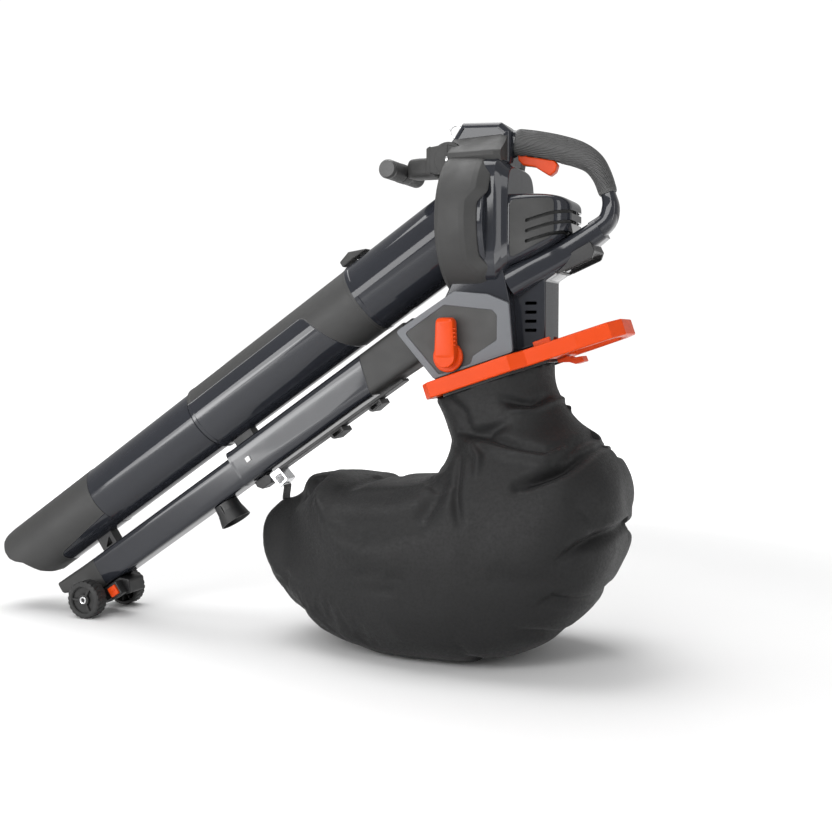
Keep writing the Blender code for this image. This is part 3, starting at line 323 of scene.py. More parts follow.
def show(name, mesh, mats, nodes=(), place=WORLD, body="machine", crisp=True):
    """Put a finished piece on its CAD body, in place of the CAD nodes it stands for."""
    mesh.transform(place)
    obj = placed(name, mesh)
    indices = [polygon.material_index for polygon in mesh.polygons]
    mesh.materials.clear()
    mats = mats if isinstance(mats, list) else [mats]
    for mat in mats:
        mesh.materials.append(mat)
    mesh.polygons.foreach_set("material_index", indices)
    if crisp:
        mod = obj.modifiers.new("crisp", "WEIGHTED_NORMAL")
        mod.keep_sharp = True
    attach(obj, body)
    if nodes:
        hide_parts(*nodes)
    return obj


# ---------------------------------------------------------------- materials

class Shader:
    """Short-hand for one material's node tree."""

    def __init__(self, name, **sockets):
        self.mat = bpy.data.materials.new(name)
        self.mat.use_nodes = True
        self.tree = self.mat.node_tree
        self.main = self.tree.nodes["Principled BSDF"]
        self.set(self.main, sockets)
        self.place = self.add("ShaderNodeTexCoord").outputs["Object"]

    def set(self, node, sockets):
        for key, value in sockets.items():
            socket = node.inputs[key if isinstance(key, int) else key.replace("_", " ")]
            if isinstance(value, bpy.types.NodeSocket):
                self.tree.links.new(value, socket)
            else:
                socket.default_value = value

    def surface(self, **sockets):
        self.set(self.main, sockets)

    def add(self, kind, props=None, inputs=None, **sockets):
        node = self.tree.nodes.new(kind)
        for key, value in (props or {}).items():
            setattr(node, key, value)
        self.set(node, inputs or {})
        self.set(node, sockets)
        return node

    def noise(self, scale, detail=3.0, rough=0.55, where=None):
        return self.add("ShaderNodeTexNoise", Vector=where or self.place, Scale=scale, Detail=detail,
                        Roughness=rough).outputs["Fac"]

    def ramp(self, value, start, end, low=0.0, high=1.0):
        """Map a start to end span onto a low to high one."""
        return self.add("ShaderNodeMapRange",
                        inputs={0: value, 1: start, 2: end, 3: low, 4: high}).outputs[0]

    def spread(self, value, low, high):
        """Map a 0.3 to 0.7 noise onto a range."""
        return self.ramp(value, 0.3, 0.7, low, high)

    def math(self, operation, a, b=0.0, c=0.0):
        return self.add("ShaderNodeMath", {"operation": operation}, {0: a, 1: b, 2: c}).outputs[0]

    def mix(self, share, a, b):
        node = self.add("ShaderNodeMix", {"data_type": "RGBA"}, {0: share, 6: a, 7: b})
        return node.outputs[2]

    def blend(self, share, a, b):
        return self.add("ShaderNodeMix", {"data_type": "FLOAT"}, {0: share, 2: a, 3: b}).outputs[0]

    def bump(self, height, distance, strength=1.0, normal=None):
        node = self.add("ShaderNodeBump", Height=height, Distance=distance, Strength=strength)
        if normal:
            self.set(node, {"Normal": normal})
        return node.outputs["Normal"]

    def stretched(self, scale):
        node = self.add("ShaderNodeMapping", Vector=self.place, Scale=scale)
        return node.outputs["Vector"]


def shade(colour, factor):
    return tuple(channel * factor for channel in colour) + (1.0,)


def plastic(name, colour, rough, grain, depth, worn=0.06, shine=0.42):
    """Moulded plastic: slightly uneven colour and gloss, and a grain of the given pitch and depth."""
    sh = Shader(name, Specular_IOR_Level=shine)
    cloud = sh.noise(9.0, 4.0)
    sh.surface(Base_Color=sh.mix(sh.spread(cloud, 0.0, 1.0), shade(colour, 1.0 - worn),
               shade(colour, 1.0 + worn)))
    smudge = sh.noise(26.0, 5.0, 0.62)
    fine = sh.noise(grain, 2.0)
    sh.surface(Roughness=sh.spread(smudge, rough * 0.84, rough * 1.18))
    sh.surface(Normal=sh.bump(fine, depth))
    return sh


def tube_coordinates(sh):
    """Station along the tubes, distance round the suction tube from its side, height across them."""
    where = sh.add("ShaderNodeMapping", {"vector_type": "TEXTURE"}, Vector=sh.place,
                   Location=tuple(TUBE.translation), Rotation=(0.0, -TILT, 0.0)).outputs["Vector"]
    parts = sh.add("ShaderNodeSeparateXYZ", Vector=where)
    side = sh.math("ABSOLUTE", parts.outputs["Y"])
    angle = sh.math("ARCTAN2", parts.outputs["Z"], side)
    return parts.outputs["X"], sh.math("MULTIPLY", angle, SUCTION_R), parts.outputs["Z"]


def window(sh, u, v, centre, half, radius):
    """Signed distance to a rounded rectangle in two coordinates, below zero inside it."""
    du = sh.math("SUBTRACT", sh.math("ABSOLUTE", sh.math("SUBTRACT", u, centre[0])), half[0] - radius)
    dv = sh.math("SUBTRACT", sh.math("ABSOLUTE", sh.math("SUBTRACT", v, centre[1])), half[1] - radius)
    du = sh.math("MAXIMUM", du, 0.0)
    dv = sh.math("MAXIMUM", dv, 0.0)
    length = sh.math("SQRT", sh.math("ADD", sh.math("MULTIPLY", du, du), sh.math("MULTIPLY", dv, dv)))
    return sh.math("SUBTRACT", length, radius)


SLATE_COLOUR = (0.0185, 0.02, 0.025)
MATTE_COLOUR = (0.03, 0.03, 0.0296)


def two_finish(name, distance_of):
    """Matte grained plastic with a polished field where the given distance is below zero."""
    sh = Shader(name)
    distance = distance_of(sh)
    gloss = sh.ramp(distance, 0.0003, -0.0003)
    line = sh.ramp(sh.math("ABSOLUTE", distance), 0.0012, 0.0)
    cloud = sh.spread(sh.noise(9.0, 4.0), 0.0, 1.0)
    matte = sh.mix(cloud, shade(MATTE_COLOUR, 0.93), shade(MATTE_COLOUR, 1.07))
    polished = sh.mix(cloud, shade(SLATE_COLOUR, 0.93), shade(SLATE_COLOUR, 1.07))
    sh.surface(Base_Color=sh.mix(gloss, matte, polished))
    smudge = sh.noise(26.0, 5.0, 0.62)
    sh.surface(Roughness=sh.blend(gloss, sh.spread(smudge, 0.52, 0.66), sh.spread(smudge, 0.035, 0.065)))
    grain = sh.math("MULTIPLY", sh.noise(1900.0, 2.0),
                    sh.math("SUBTRACT", 1.0, sh.math("MULTIPLY", gloss, 0.96)))
    edge = sh.bump(line, 0.0006, 1.0)
    sh.surface(Normal=sh.bump(grain, 0.00007, 1.0, edge))
    return sh.mat


def upper_window(sh):
    """Polished field on the side of the upper suction tube, its rear edge leaning back as it drops."""
    station, around, _ = tube_coordinates(sh)
    lean = sh.math("MULTIPLY_ADD", around, 0.42, station)
    top = SUCTION_R * math.radians(29.0)
    low = SUCTION_R * math.radians(-110.0)
    return window(sh, lean, around, (-0.0845 - 0.25, 0.5 * (top + low)), (0.25, 0.5 * (top - low)), 0.01)


def nozzle_window(sh):
    """Polished tear-drop that reaches forward under the suction nozzle."""
    station, around, _ = tube_coordinates(sh)
    taper = sh.math("MULTIPLY_ADD", station, -0.1, around)
    low, high = SUCTION_R * math.radians(-130.0), SUCTION_R * math.radians(-42.0) + 0.068
    return window(sh, station, taper, (-0.65, 0.5 * (low + high)), (0.098, 0.5 * (high - low)), 0.014)


def blow_window(sh):
    station, _, height = tube_coordinates(sh)
    lean = sh.math("MULTIPLY_ADD", height, -0.3, station)
    return sh.math("SUBTRACT", lean, -0.0335)


def woven(name, colour, pitch, depth, sheen=0.25):
    """Plain weave: two crossing thread waves on a stored flat coordinate."""
    sh = Shader(name, Roughness=0.62, Sheen_Weight=sheen, Sheen_Roughness=0.45, Specular_IOR_Level=0.33)
    flat = sh.add("ShaderNodeAttribute", {"attribute_name": "weave"}).outputs["Vector"]
    parts = sh.add("ShaderNodeSeparateXYZ", Vector=flat)
    turns = 2.0 * math.pi / pitch
    warp = sh.math("SINE", sh.math("MULTIPLY", parts.outputs["X"], turns))
    weft = sh.math("SINE", sh.math("MULTIPLY", parts.outputs["Y"], turns))
    cross = sh.math("MULTIPLY", warp, weft)
    height = sh.math("MULTIPLY_ADD", cross, 0.5, 0.5)
    slub = sh.noise(240.0, 2.0)
    cloud = sh.noise(6.0, 4.0)
    # Colour: painted shade, darker in the hollows between threads and lighter on their crests, following
    # the weave height, mixed with a random cloudy tone of the cloth.
    hollow_shade_and_tone = sh.math("MULTIPLY_ADD", height, 0.35, sh.math("MULTIPLY", sh.spread(cloud, 0.1, 0.9), 0.65))
    sh.surface(Base_Color=sh.mix(hollow_shade_and_tone, shade(colour, 0.72), shade(colour, 1.28)))
    sh.surface(Roughness=sh.spread(slub, 0.5, 0.66))
    crease = sh.bump(sh.noise(30.0, 3.0, 0.5), 0.0006, 0.5)
    sh.surface(Normal=sh.bump(height, depth, 0.6, crease))
    return sh


def metal(name, colour, rough, streak=(40.0, 900.0, 40.0)):
    sh = Shader(name, Metallic=1.0)
    brush = sh.noise(1.0, 3.0, 0.6, sh.stretched(streak))
    cloud = sh.noise(30.0, 3.0)
    sh.surface(Base_Color=sh.mix(sh.spread(cloud, 0.0, 1.0), shade(colour, 0.9), shade(colour, 1.05)))
    sh.surface(Roughness=sh.spread(brush, rough * 0.75, rough * 1.35))
    sh.surface(Normal=sh.bump(brush, 0.00002))
    return sh


def winding():
    sh = metal("winding", (0.62, 0.28, 0.12), 0.36)
    coils = sh.add("ShaderNodeTexWave", {"bands_direction": "X"}, Vector=sh.place, Scale=420.0,
                   Distortion=1.2)
    sh.surface(Normal=sh.bump(coils.outputs["Fac"], 0.0004))
    return sh


def circuit():
    sh = Shader("circuit", Roughness=0.42)
    cells = sh.add("ShaderNodeTexVoronoi", {"distance": "CHEBYCHEV"}, Vector=sh.place, Scale=260.0)
    track = sh.ramp(cells.outputs["Distance"], 0.42, 0.46)
    sh.surface(Base_Color=sh.mix(track, (0.01, 0.085, 0.03, 1.0), (0.035, 0.19, 0.075, 1.0)))
    sh.surface(Normal=sh.bump(track, 0.00006))
    return sh


SLATE = plastic("slate_gloss_finish", SLATE_COLOUR, 0.065, 260.0, 0.000004).mat
MATTE = plastic("charcoal_matte_finish", MATTE_COLOUR, 0.6, 1900.0, 0.00007).mat
PANEL = plastic("grey_panel_finish", (0.105, 0.11, 0.12), 0.4, 1500.0, 0.00003).mat
INSET = plastic("grey_inset_finish", (0.046, 0.046, 0.045), 0.62, 1900.0, 0.00007).mat
ORANGE = plastic("orange_finish", (0.6, 0.05, 0.0015), 0.36, 1300.0, 0.00002, 0.03, 0.22).mat
BLACK = plastic("black_finish", (0.0105, 0.0105, 0.011), 0.42, 1500.0, 0.00004).mat
TYRE = plastic("tyre_finish", (0.024, 0.024, 0.024), 0.64, 1200.0, 0.00008).mat
RUBBER = plastic("grip_finish", (0.056, 0.056, 0.056), 0.45, 1600.0, 0.00009).mat
WHITE = plastic("white_finish", (0.78, 0.78, 0.77), 0.4, 1300.0, 0.00002, 0.02).mat
STEEL = metal("steel_finish", (0.74, 0.74, 0.75), 0.24).mat
LAMINATION = metal("lamination_finish", (0.32, 0.32, 0.33), 0.42, (900.0, 30.0, 30.0)).mat
COPPER = winding().mat
BOARD = circuit().mat
BAG_CLOTH = woven("bag_cloth", (0.0044, 0.0044, 0.0047), 0.0012, 0.00012, 0.03).mat
STRAP_CLOTH = woven("strap_cloth", (0.02, 0.02, 0.02), 0.0016, 0.00035).mat
UPPER_TUBE = two_finish("upper_tube_finish", upper_window)
NOZZLE = two_finish("nozzle_finish", nozzle_window)
BLOW_UPPER = two_finish("blow_upper_finish", blow_window)


# ---------------------------------------------------------------- tubes and what holds them

def suction_tubes():
    lip = COLLAR_R + 0.0006
    upper = [(-0.3577, 0.0566), (-0.3577, lip), (-0.353, lip), (-0.3515, COLLAR_R), (-0.006, COLLAR_R),
             (-0.0045, lip), (-0.0003, lip), (-0.0003, 0.0573), (0.036, 0.0573), (0.036, 0.0558),
             (-0.002, 0.0558), (-0.01, 0.0566)]
    show("upper_suction_shell", turned(upper, steps=160, fillet=0.0005), UPPER_TUBE, ["suction_tube_upper"],
         TUBE)
    lower = [(-0.614, SUCTION_R), (-0.362, SUCTION_R), (-0.3614, SUCTION_R - 0.0012),
             (-0.322, SUCTION_R - 0.0012), (-0.322, 0.0538), (-0.638, 0.0538), (-0.638, 0.0553),
             (-0.614, 0.0553)]
    show("lower_suction_shell", turned(lower, steps=160, fillet=0.0004), SLATE, ["suction_tube_lower"],
         TUBE)
    outer = SUCTION_R + 0.0006
    body = turned([(-0.85, outer), (-0.6143, outer), (-0.6143, 0.0556), (-0.64, 0.0556), (-0.644, 0.0538),
                  (-0.85, 0.0538)], steps=160, fillet=0.0004)
    tip = -0.84
    mouth = [(-0.93, 0.1), (tip + 0.018, 0.1), (tip + 0.018, 0.054), (tip + 0.004, 0.048), (tip, 0.04),
             (tip + 0.001, 0.02), (tip + 0.005, 0.004), (tip + 0.013, -0.007), (tip + 0.025, -0.017),
             (tip + 0.031, -0.03), (tip + 0.036, -0.044), (tip + 0.045, -0.055), (tip + 0.062, -0.06),
             (tip + 0.07, -0.1), (-0.93, -0.1)]
    body = cut(body, [plate([rounded(mouth, 0.01, 6)], -0.08, 0.08)])
    show("suction_mouth_shell", softened(body, 0.0006, 2, 45.0), NOZZLE, ["suction_nozzle"], TUBE)


def box_tube(outer, inner):
    """Rounded-box tube wall from outer and inner stations, each (station, half width, bottom, top)."""
    return loft([oval(*row, TUBE_POWER, 112) for row in outer + inner], caps=False)


def grown(rows, by):
    return [(x, w + by, b - by, t + by) for x, w, b, t in rows]


# Blow tube sections: (half width, bottom, top)
BLOW_LOWER = (0.0265, -0.136, -0.08)
BLOW_FRONT = (0.0301, -0.1375, -0.0712)
BLOW_REAR = (0.033, -0.141, -0.0712)
BLOW_SLEEVE = (0.0268, -0.1363, -0.0797)


def stations(section, *places):
    """Rows of one section at several places along the tubes."""
    return [(x, *section) for x in places]


def blow_tubes():
    lip = grown([(-0.3567, 0.03, -0.1375, -0.0712)] + stations(BLOW_FRONT, -0.352), 0.0006)
    outer = stations(BLOW_FRONT, -0.3505) + [(-0.1, 0.031, -0.137, -0.0712)] + stations(BLOW_REAR, 0.034)
    outer.append((0.0345, 0.0327, -0.1407, -0.0715))
    neck = grown(stations(BLOW_REAR, 0.0345, 0.05), -0.0025)
    bore = grown(stations(BLOW_REAR, 0.05, 0.0), -0.005)
    inner = neck + bore + stations(BLOW_SLEEVE, -0.3, -0.3567)
    show("upper_blow_shell", box_tube(lip + outer, inner), BLOW_UPPER, ["blow_tube_upper"], TUBE)
    outer = stations(BLOW_LOWER, -0.7, -0.321)
    inner = grown(stations(BLOW_LOWER, -0.321, -0.72), -0.0022)
    tongue = grown(stations(BLOW_LOWER, -0.72, -0.7), -0.001)
    show("lower_blow_shell", box_tube(outer, inner + tongue), SLATE, ["blow_tube_lower"], TUBE)
    tip = smooth_rows(stations(BLOW_LOWER, -0.7003) + [(-0.73, 0.028, -0.1345, -0.08),
                      (-0.758, 0.0318, -0.119, -0.08), (-0.7855, 0.0338, -0.104, -0.08)], 6)
    rim = grown([(-0.786, 0.034, -0.104, -0.08)], -0.0006)
    inner = grown(tip[:3:-1], -0.0022)
    seat = grown(stations(BLOW_LOWER, -0.721, -0.7003), -0.0008)
    show("blow_mouth_shell", box_tube(tip, rim + inner + seat), MATTE, ["blow_nozzle"], TUBE)


def tube_clips():
    ring = rod(SUCTION_R + 0.0009, -0.9, 0.2, "X", 128)
    ridge = loft([oval(x, 0.0268, -0.136, -0.0797, TUBE_POWER, 96) for x in (-0.72, -0.6)])
    outline = rounded([(-0.681, -0.0805), (-0.647, -0.0805), (-0.647, -0.054), (-0.681, -0.054)], 0.002)
    web = rounded([(-0.672, -0.0765), (-0.6555, -0.0765), (-0.6555, -0.0625)], 0.0012, 3)
    lower = cut(plate([outline, web], -0.011, 0.011, 0.0008), [ring, ridge])
    show("lower_tube_clip", lower, BLACK, ["tube_clip_lower"], TUBE)
    collar = rod(COLLAR_R + 0.0003, -0.5, 0.0, "X", 128)
    ridge = loft([oval(x, 0.0308, -0.137, -0.0709, TUBE_POWER, 96) for x in (-0.36, -0.26)])
    outline = rounded([(-0.34, -0.073), (-0.3, -0.073), (-0.3, -0.056), (-0.34, -0.056)], 0.002)
    show("middle_tube_clip", cut(plate([outline], -0.011, 0.011, 0.0008), [collar, ridge]), BLACK,
         ["tube_clip_middle"], TUBE)
    outline = rounded([(-0.006, INLET_R + 0.0035), (-0.006, 0.074), (0.016, 0.079), (0.044, 0.0655),
                      (0.044, INLET_R + 0.0035)], 0.003)
    ribs = [block((0.0012, 0.02, 0.0016), (0.001 + 0.0035 * k, 0.0, 0.0756 + 0.0008 * k), 0.0004)
            for k in range(4)]
    show("tube_lock_cap", joined(plate([outline], -0.013, 0.013, 0.0022), *ribs), MATTE,
         ["tube_lock_button"], TUBE, body="tube_lock_button")
    snap = block((0.009, 0.0035, 0.009), (-0.3226, -0.031, -0.1035), 0.0012)
    show("snap_cap", snap, WHITE, ["blow_snap_button"], TUBE, body="blow_snap_button")


# ---------------------------------------------------------------- wheels

def wheel_bracket():
    outline = [(-0.752, -0.145), (-0.742, -0.1365), (-0.672, -0.1365), (-0.655, -0.15), (-0.668, -0.172),
               (-0.7, -0.16), (-0.722, -0.158), (-0.745, -0.156)]
    body = plate([rounded(outline, 0.006)], -0.022, 0.022, 0.0022)
    boss = block((0.025, 0.0195, 0.025), (-0.682, -0.0303, -0.1545), 0.002)
    spine = moved(rod(0.008, -0.04, 0.04, "Y", 64, 0.001), at(-0.7263, 0.0, -0.1418))
    pocket = block((0.0186, 0.016, 0.0186), (-0.682, -0.04, -0.1545), 0.001)
    nozzle = loft([oval(x, 0.0292, b, -0.08, TUBE_POWER, 96)
                  for x, b in ((-0.8, -0.1352), (-0.73, -0.1362), (-0.6, -0.1366))])
    bracket = joined(cut(body, [nozzle, pocket]), cut(boss, [nozzle, pocket]), cut(spine, [nozzle]))
    show("wheel_bracket_shell", bracket, BLACK, ["wheel_bracket"], TUBE)
    cap = block((0.0176, 0.009, 0.0176), (-0.682, -0.039, -0.1545), 0.0018)
    dot = block((0.01, 0.002, 0.0022), (-0.682, -0.0434, -0.1545), 0.0006)
    show("wheel_release_cap", joined(cap, dot), ORANGE, ["wheel_release_button"], TUBE,
         body="wheel_release_button")
    bar = turned([(-0.065, 0.0), (-0.065, 0.00398), (0.065, 0.00398), (0.065, 0.0)], "Y", 48, 0.0006)
    show("axle_bar", bar, STEEL, ["wheel_axle"], AXLE)


def tyre(side):
    """Ribbed tyre: each loop is a cross-section, its crown broken by a zig-zag tread."""
    section = rounded([(0.045, 0.027), (0.045, 0.0312), (0.0462, 0.0318), (0.069, 0.0318), (0.0706, 0.03),
                      (0.071, 0.027), (0.0708, 0.0245), (0.0685, 0.0228), (0.068, 0.0238), (0.05, 0.0262)],
                      0.0009, 3)
    dense = []
    for (y0, r0), (y1, r1) in zip(section, section[1:] + section[:1]):
        parts = max(1, int(abs(y1 - y0) / 0.0022))
        dense += [(y0 + (y1 - y0) * k / parts, r0 + (r1 - r0) * k / parts) for k in range(parts)]
    loops = []
    steps = 264
    for step in range(steps):
        angle = 2.0 * math.pi * step / steps
        loop = []
        for y, radius in dense:
            zig = abs(((y - 0.045) / 0.013) % 2.0 - 1.0)
            lug = ((22.0 * step / steps + 0.55 * zig) % 1.0) < 0.62
            crown = radius > 0.0312 and 0.0458 < y < 0.0698
            grow = 0.0011 if lug and crown else 0.0
            loop.append(Vector(((radius + grow) * math.cos(angle), side * y,
                        (radius + grow) * math.sin(angle))))
        loops.append(loop)
    return loft(loops, caps=False, sharp=32.0)


def spokes(side):
    """Dished centre with three thin spokes outside and ten ribs inside."""
    hub = [(0.0452, 0.0041), (0.0452, 0.0095), (0.062, 0.0105), (0.069, 0.0105), (0.0696, 0.0095),
           (0.0696, 0.0041)]
    disc = [(0.062, 0.009), (0.064, 0.009), (0.066, 0.0245), (0.064, 0.0265)]
    pieces = [turned_on(side, hub, 72, 0.0005), turned_on(side, disc, 96, 0.0003)]
    for index in range(3):
        arm = block((0.0046, 0.0052, 0.0165), (0.0, side * 0.0664, 0.017), 0.0012)
        pieces.append(moved(arm, Matrix.Rotation(math.radians(120.0 * index + 30.0), 4, "Y")))
    for index in range(10):
        rib = block((0.0014, 0.014, 0.017), (0.0, side * 0.0535, 0.0175), 0.0004, 2)
        pieces.append(moved(rib, Matrix.Rotation(math.radians(36.0 * index), 4, "Y")))
    return joined(*pieces)


def wheels():
    ring = [(0.0668, 0.0036), (0.0668, 0.0066), (0.0704, 0.0066), (0.0712, 0.0056), (0.071, 0.0044),
            (0.0698, 0.0036)]
    plug = [(0.067, 0.0), (0.067, 0.0037), (0.0688, 0.0037), (0.0684, 0.0)]
    for name, side in SIDES:
        show("tyre_" + name, tyre(side), TYRE, ["wheel_" + name], AXLE, body="wheel_" + name)
        show("hub_" + name, spokes(side), TYRE, (), AXLE, body="wheel_" + name)
        cap = joined((turned_on(side, ring, 64, 0.0005), 0), (turned_on(side, plug, 32), 1))
        show("hub_cap_" + name, cap, [STEEL, BLACK], ["wheel_cap_" + name], AXLE)


# ---------------------------------------------------------------- fan case and housing

HANDLE_ROWS = [
    (0.372, 0.792, 0.02, 0.019), (0.395, 0.7905, 0.0185, 0.0175), (0.425, 0.7865, 0.0175, 0.016),
    (0.46, 0.778, 0.0175, 0.015), (0.49, 0.768, 0.0165, 0.0145), (0.512, 0.754, 0.014, 0.014),
    (0.526, 0.733, 0.0115, 0.013), (0.535, 0.708, 0.0105, 0.013), (0.539, 0.688, 0.0125, 0.017),
    (0.534, 0.668, 0.014, 0.019), (0.516, 0.653, 0.016, 0.021)]


def bar_along(rows, power, sides=56, grow=0.0):
    return sweep([(row[0], row[1]) for row in rows], [(row[2] + grow, row[3] + grow) for row in rows],
                 power, sides)


def hub_pockets(radius, inner, outer):
    return [moved(rod(radius, *sorted((side * inner, side * outer)), "Y", 96), PIVOT) for _, side in SIDES]


def housing_solids():
    """Overlapping rounded solids that make up the outside of the housing."""
    drum = [(0.3, 0.0), (0.3, DRUM_R), (0.372, DRUM_R), (0.372, 0.0)]
    drum = cut(moved(turned(drum, steps=160, fillet=0.004), at(z=SHAFT_Z)),
               hub_pockets(0.0266, 0.0343, 0.0468))
    collar = [(0.0, 0.0575), (0.0, 0.0606), (0.0065, 0.0606), (0.008, INLET_R), (0.235, INLET_R),
              (0.235, 0.0575)]
    inlet = moved(turned(collar, steps=160, fillet=0.0005), TUBE_IN_BODY)
    head = [(0.286, 0.748), (0.286, 0.782), (0.3, 0.798), (0.316, 0.822), (0.377, 0.819), (0.392, 0.806),
            (0.3915, 0.7), (0.32, 0.7)]
    head = plate([rounded(head, 0.005, 3)], -0.034, 0.034, 0.0095, 4)
    rim = [(0.346, 0.086, 0.574, 0.764), (0.348, 0.088, 0.572, 0.766), (0.3835, 0.0865, 0.574, 0.7645),
           (0.3845, 0.086, 0.575, 0.764), (0.392, 0.079, 0.585, 0.757), (0.393, 0.0775, 0.587, 0.7555),
           (0.4, 0.072, 0.596, 0.75), (0.401, 0.0705, 0.5975, 0.7485)]
    bulkhead = loft([oval(*row, 5.0, 120) for row in rim])
    loops = []
    for x, a, b, c, d in ((0.302, 0.048, 0.06, 0.042, 0.026), (0.305, 0.052, 0.064, 0.045, 0.029),
            (0.378, 0.06, 0.072, 0.052, 0.033), (0.388, 0.056, 0.067, 0.046, 0.029)):
        half = [(a, 0.742), (b, 0.765), (b, 0.7715), (c, 0.785), (d, 0.801)]
        outline = [(-y, z) for y, z in half] + half[::-1]
        loops.append([Vector((x, y, z)) for y, z in rounded(outline, 0.0045, 4)])
    shoulder = loft(loops)
    shoulder = cut(shoulder, hub_pockets(0.0268, 0.034, 0.0475))
    duct = [(0.228, 0.503), (0.3, 0.553), (0.33, 0.612), (0.389, 0.612), (0.404, 0.548),
            (0.409, base_z(0.409)), (0.286, 0.43)]
    duct = plate([rounded(duct, 0.004, 4)], -DUCT_HALF_W, DUCT_HALF_W, 0.003)
    column = [(0.38, base_z(0.38) + 0.002), (0.38, 0.61), (0.425, 0.6085), (0.4655, 0.6065),
              (0.4655, 0.5895), (0.451, 0.58), (0.451, base_z(0.451))]
    slots = [block((0.018, 0.24, 0.005), (0.429, 0.0, 0.506 + 0.0135 * k), 0.0012) for k in range(4)]
    core = plate([[(0.3845, 0.48), (0.3845, 0.6), (0.422, 0.598), (0.4465, 0.587), (0.4465, 0.492)]],
                 -0.034, 0.034)
    column = cut(plate([rounded(column, 0.005, 4)], -0.042, 0.042, 0.004), [core] + slots)
    beam = smooth_rows([(0.398, 0.576, 0.026, 0.066), (0.42, 0.589, 0.0245, 0.059),
                       (0.455, 0.609, 0.0225, 0.046), (0.49, 0.631, 0.019, 0.032),
                       (0.5265, 0.656, 0.0165, 0.0225)], 6)
    handle = smooth_rows(HANDLE_ROWS, 5)
    slot = plate([[(0.385, 0.73), (0.385, 0.785), (0.4625, 0.78), (0.4625, 0.725)]], -0.0092, 0.0092)
    loop = cut(loft(bar_along(handle, 2.8)), [slot])
    whole = joined(drum, inlet, bulkhead, duct, column, loft(bar_along(beam, 4.0, 72)), loop)
    return whole, joined((head, 0), (shoulder, 1))


def housing():
    whole, crown = housing_solids()
    show("housing_crown", crown, [SLATE, MATTE])
    for name, side in SIDES:
        show("housing_shell_" + name, half_of(whole, side), SLATE, ["housing_" + name])


def step_between(value, low, high):
    share = min(1.0, max(0.0, (value - low) / (high - low)))
    return share * share * (3.0 - 2.0 * share)


def bumper(side):
    """Soft crescent round one side of the fan case, thickest at its middle."""
    loops = []
    count = 72
    for index in range(count + 1):
        share = index / count
        degrees = -76.0 + 158.0 * share
        angle = math.radians(degrees)
        swell = math.sin(math.pi * share) ** 0.35 if 0.0 < share < 1.0 else 0.0
        base = DRUM_R + 0.0003
        crown = base + 0.0045 + (BUMPER_R - base - 0.0045) * swell
        front = 0.301 - 0.001 * swell
        wide = step_between(degrees, 12.0, 24.0) + step_between(-degrees, 28.0, 44.0)
        rear = 0.364 + 0.015 * wide
        section = [(front, base), (front, 0.5 * (base + crown)), (front + 0.002, crown - 0.003),
                   (front + 0.008, crown), (rear - 0.024, crown), (rear - 0.016, crown - 0.001),
                   (rear - 0.001, base + 0.003), (rear, base)]
        loops.append([Vector((x, side * radius * math.cos(angle), SHAFT_Z + radius * math.sin(angle)))
                     for x, radius in rounded(section, 0.004, 4)])
    return cut(loft(loops), hub_pockets(0.0268, 0.03, 0.047))


def bumper_pads():
    for name, side in SIDES:
        show("bumper_pad_" + name, bumper(side), MATTE, ["bumper_" + name])


COVER_ROWS = [
    (0.3925, 0.07, 0.598, 0.709), (0.405, 0.0702, 0.603, 0.7092), (0.43, 0.0698, 0.614, 0.7085),
    (0.452, 0.067, 0.626, 0.707), (0.468, 0.061, 0.637, 0.7045), (0.479, 0.051, 0.648, 0.7005),
    (0.485, 0.04, 0.659, 0.695), (0.4872, 0.03, 0.665, 0.689)]


def cover_panel(side, deep, proud, spread):
    """Side panel that follows the curve of the cap, a rounded shape seen from the side."""
    widths = [(row[0], row[1]) for row in smooth_rows(COVER_ROWS, 10)]
    x_low, x_high = 0.4035 - spread, 0.468 + spread
    loops = []
    for index in range(49):
        x = x_low + (x_high - x_low) * index / 48
        near = min(x - x_low, x_high - x)
        inset = 0.008 - math.sqrt(max(0.0, 0.008 ** 2 - (0.008 - min(near, 0.008)) ** 2))
        low = 0.612 + 0.5 * (x - 0.4035) - spread + inset
        high = 0.698 + 0.02 * (x - 0.4035) + spread - inset
        w = float(np.interp(x, [row[0] for row in widths], [row[1] for row in widths]))
        loops.append([Vector((x, side * y, z))
                     for y, z in ((w - deep, low), (w + proud - 0.0004, low), (w + proud, low + 0.0006),
                     (w + proud, high - 0.0006), (w + proud - 0.0004, high), (w - deep, high))])
    return loft(loops, sharp=30.0)


def motor_cover():
    """Boxy rear cap: polished frame, sunk matte side panels and three louvres that wrap round its end."""
    rows = smooth_rows(COVER_ROWS, 10)
    inner = [(x - 0.0025 * (x > 0.4), w, b, t) for x, w, b, t in grown(rows, -0.003)]
    cover = loft([oval(*row, 7.0, 144) for row in rows[::-1] + inner])
    pockets = [cover_panel(side, 0.0016, 0.01, 0.0007) for _, side in SIDES]
    slots = []
    for index in range(3):
        drop = 0.015 * index
        slot = [(0.427, 0.6685 - drop), (0.462, 0.679 - drop), (0.51, 0.688 - drop), (0.51, 0.6832 - drop),
                (0.463, 0.674 - drop), (0.427, 0.6635 - drop)]
        slots += [plate([rounded(slot, 0.0018, 3)], low, high)
                  for low, high in ((-0.09, -0.0025), (0.0025, 0.09))]
    cover = cut(cut(cover, pockets), slots)
    panels = [(cut(cover_panel(side, 0.0014, -0.0003, 0.0), slots), 1) for _, side in SIDES]
    liner = loft([oval(x - 0.0035 * (x > 0.41), w, b, t, 7.0, 72)
                 for x, w, b, t in grown(rows[::3], -0.006)])
    shell = joined((cover, 0), *panels, (liner, 1))
    show("motor_cover_shell", shell, [SLATE, MATTE], ["motor_cover"])


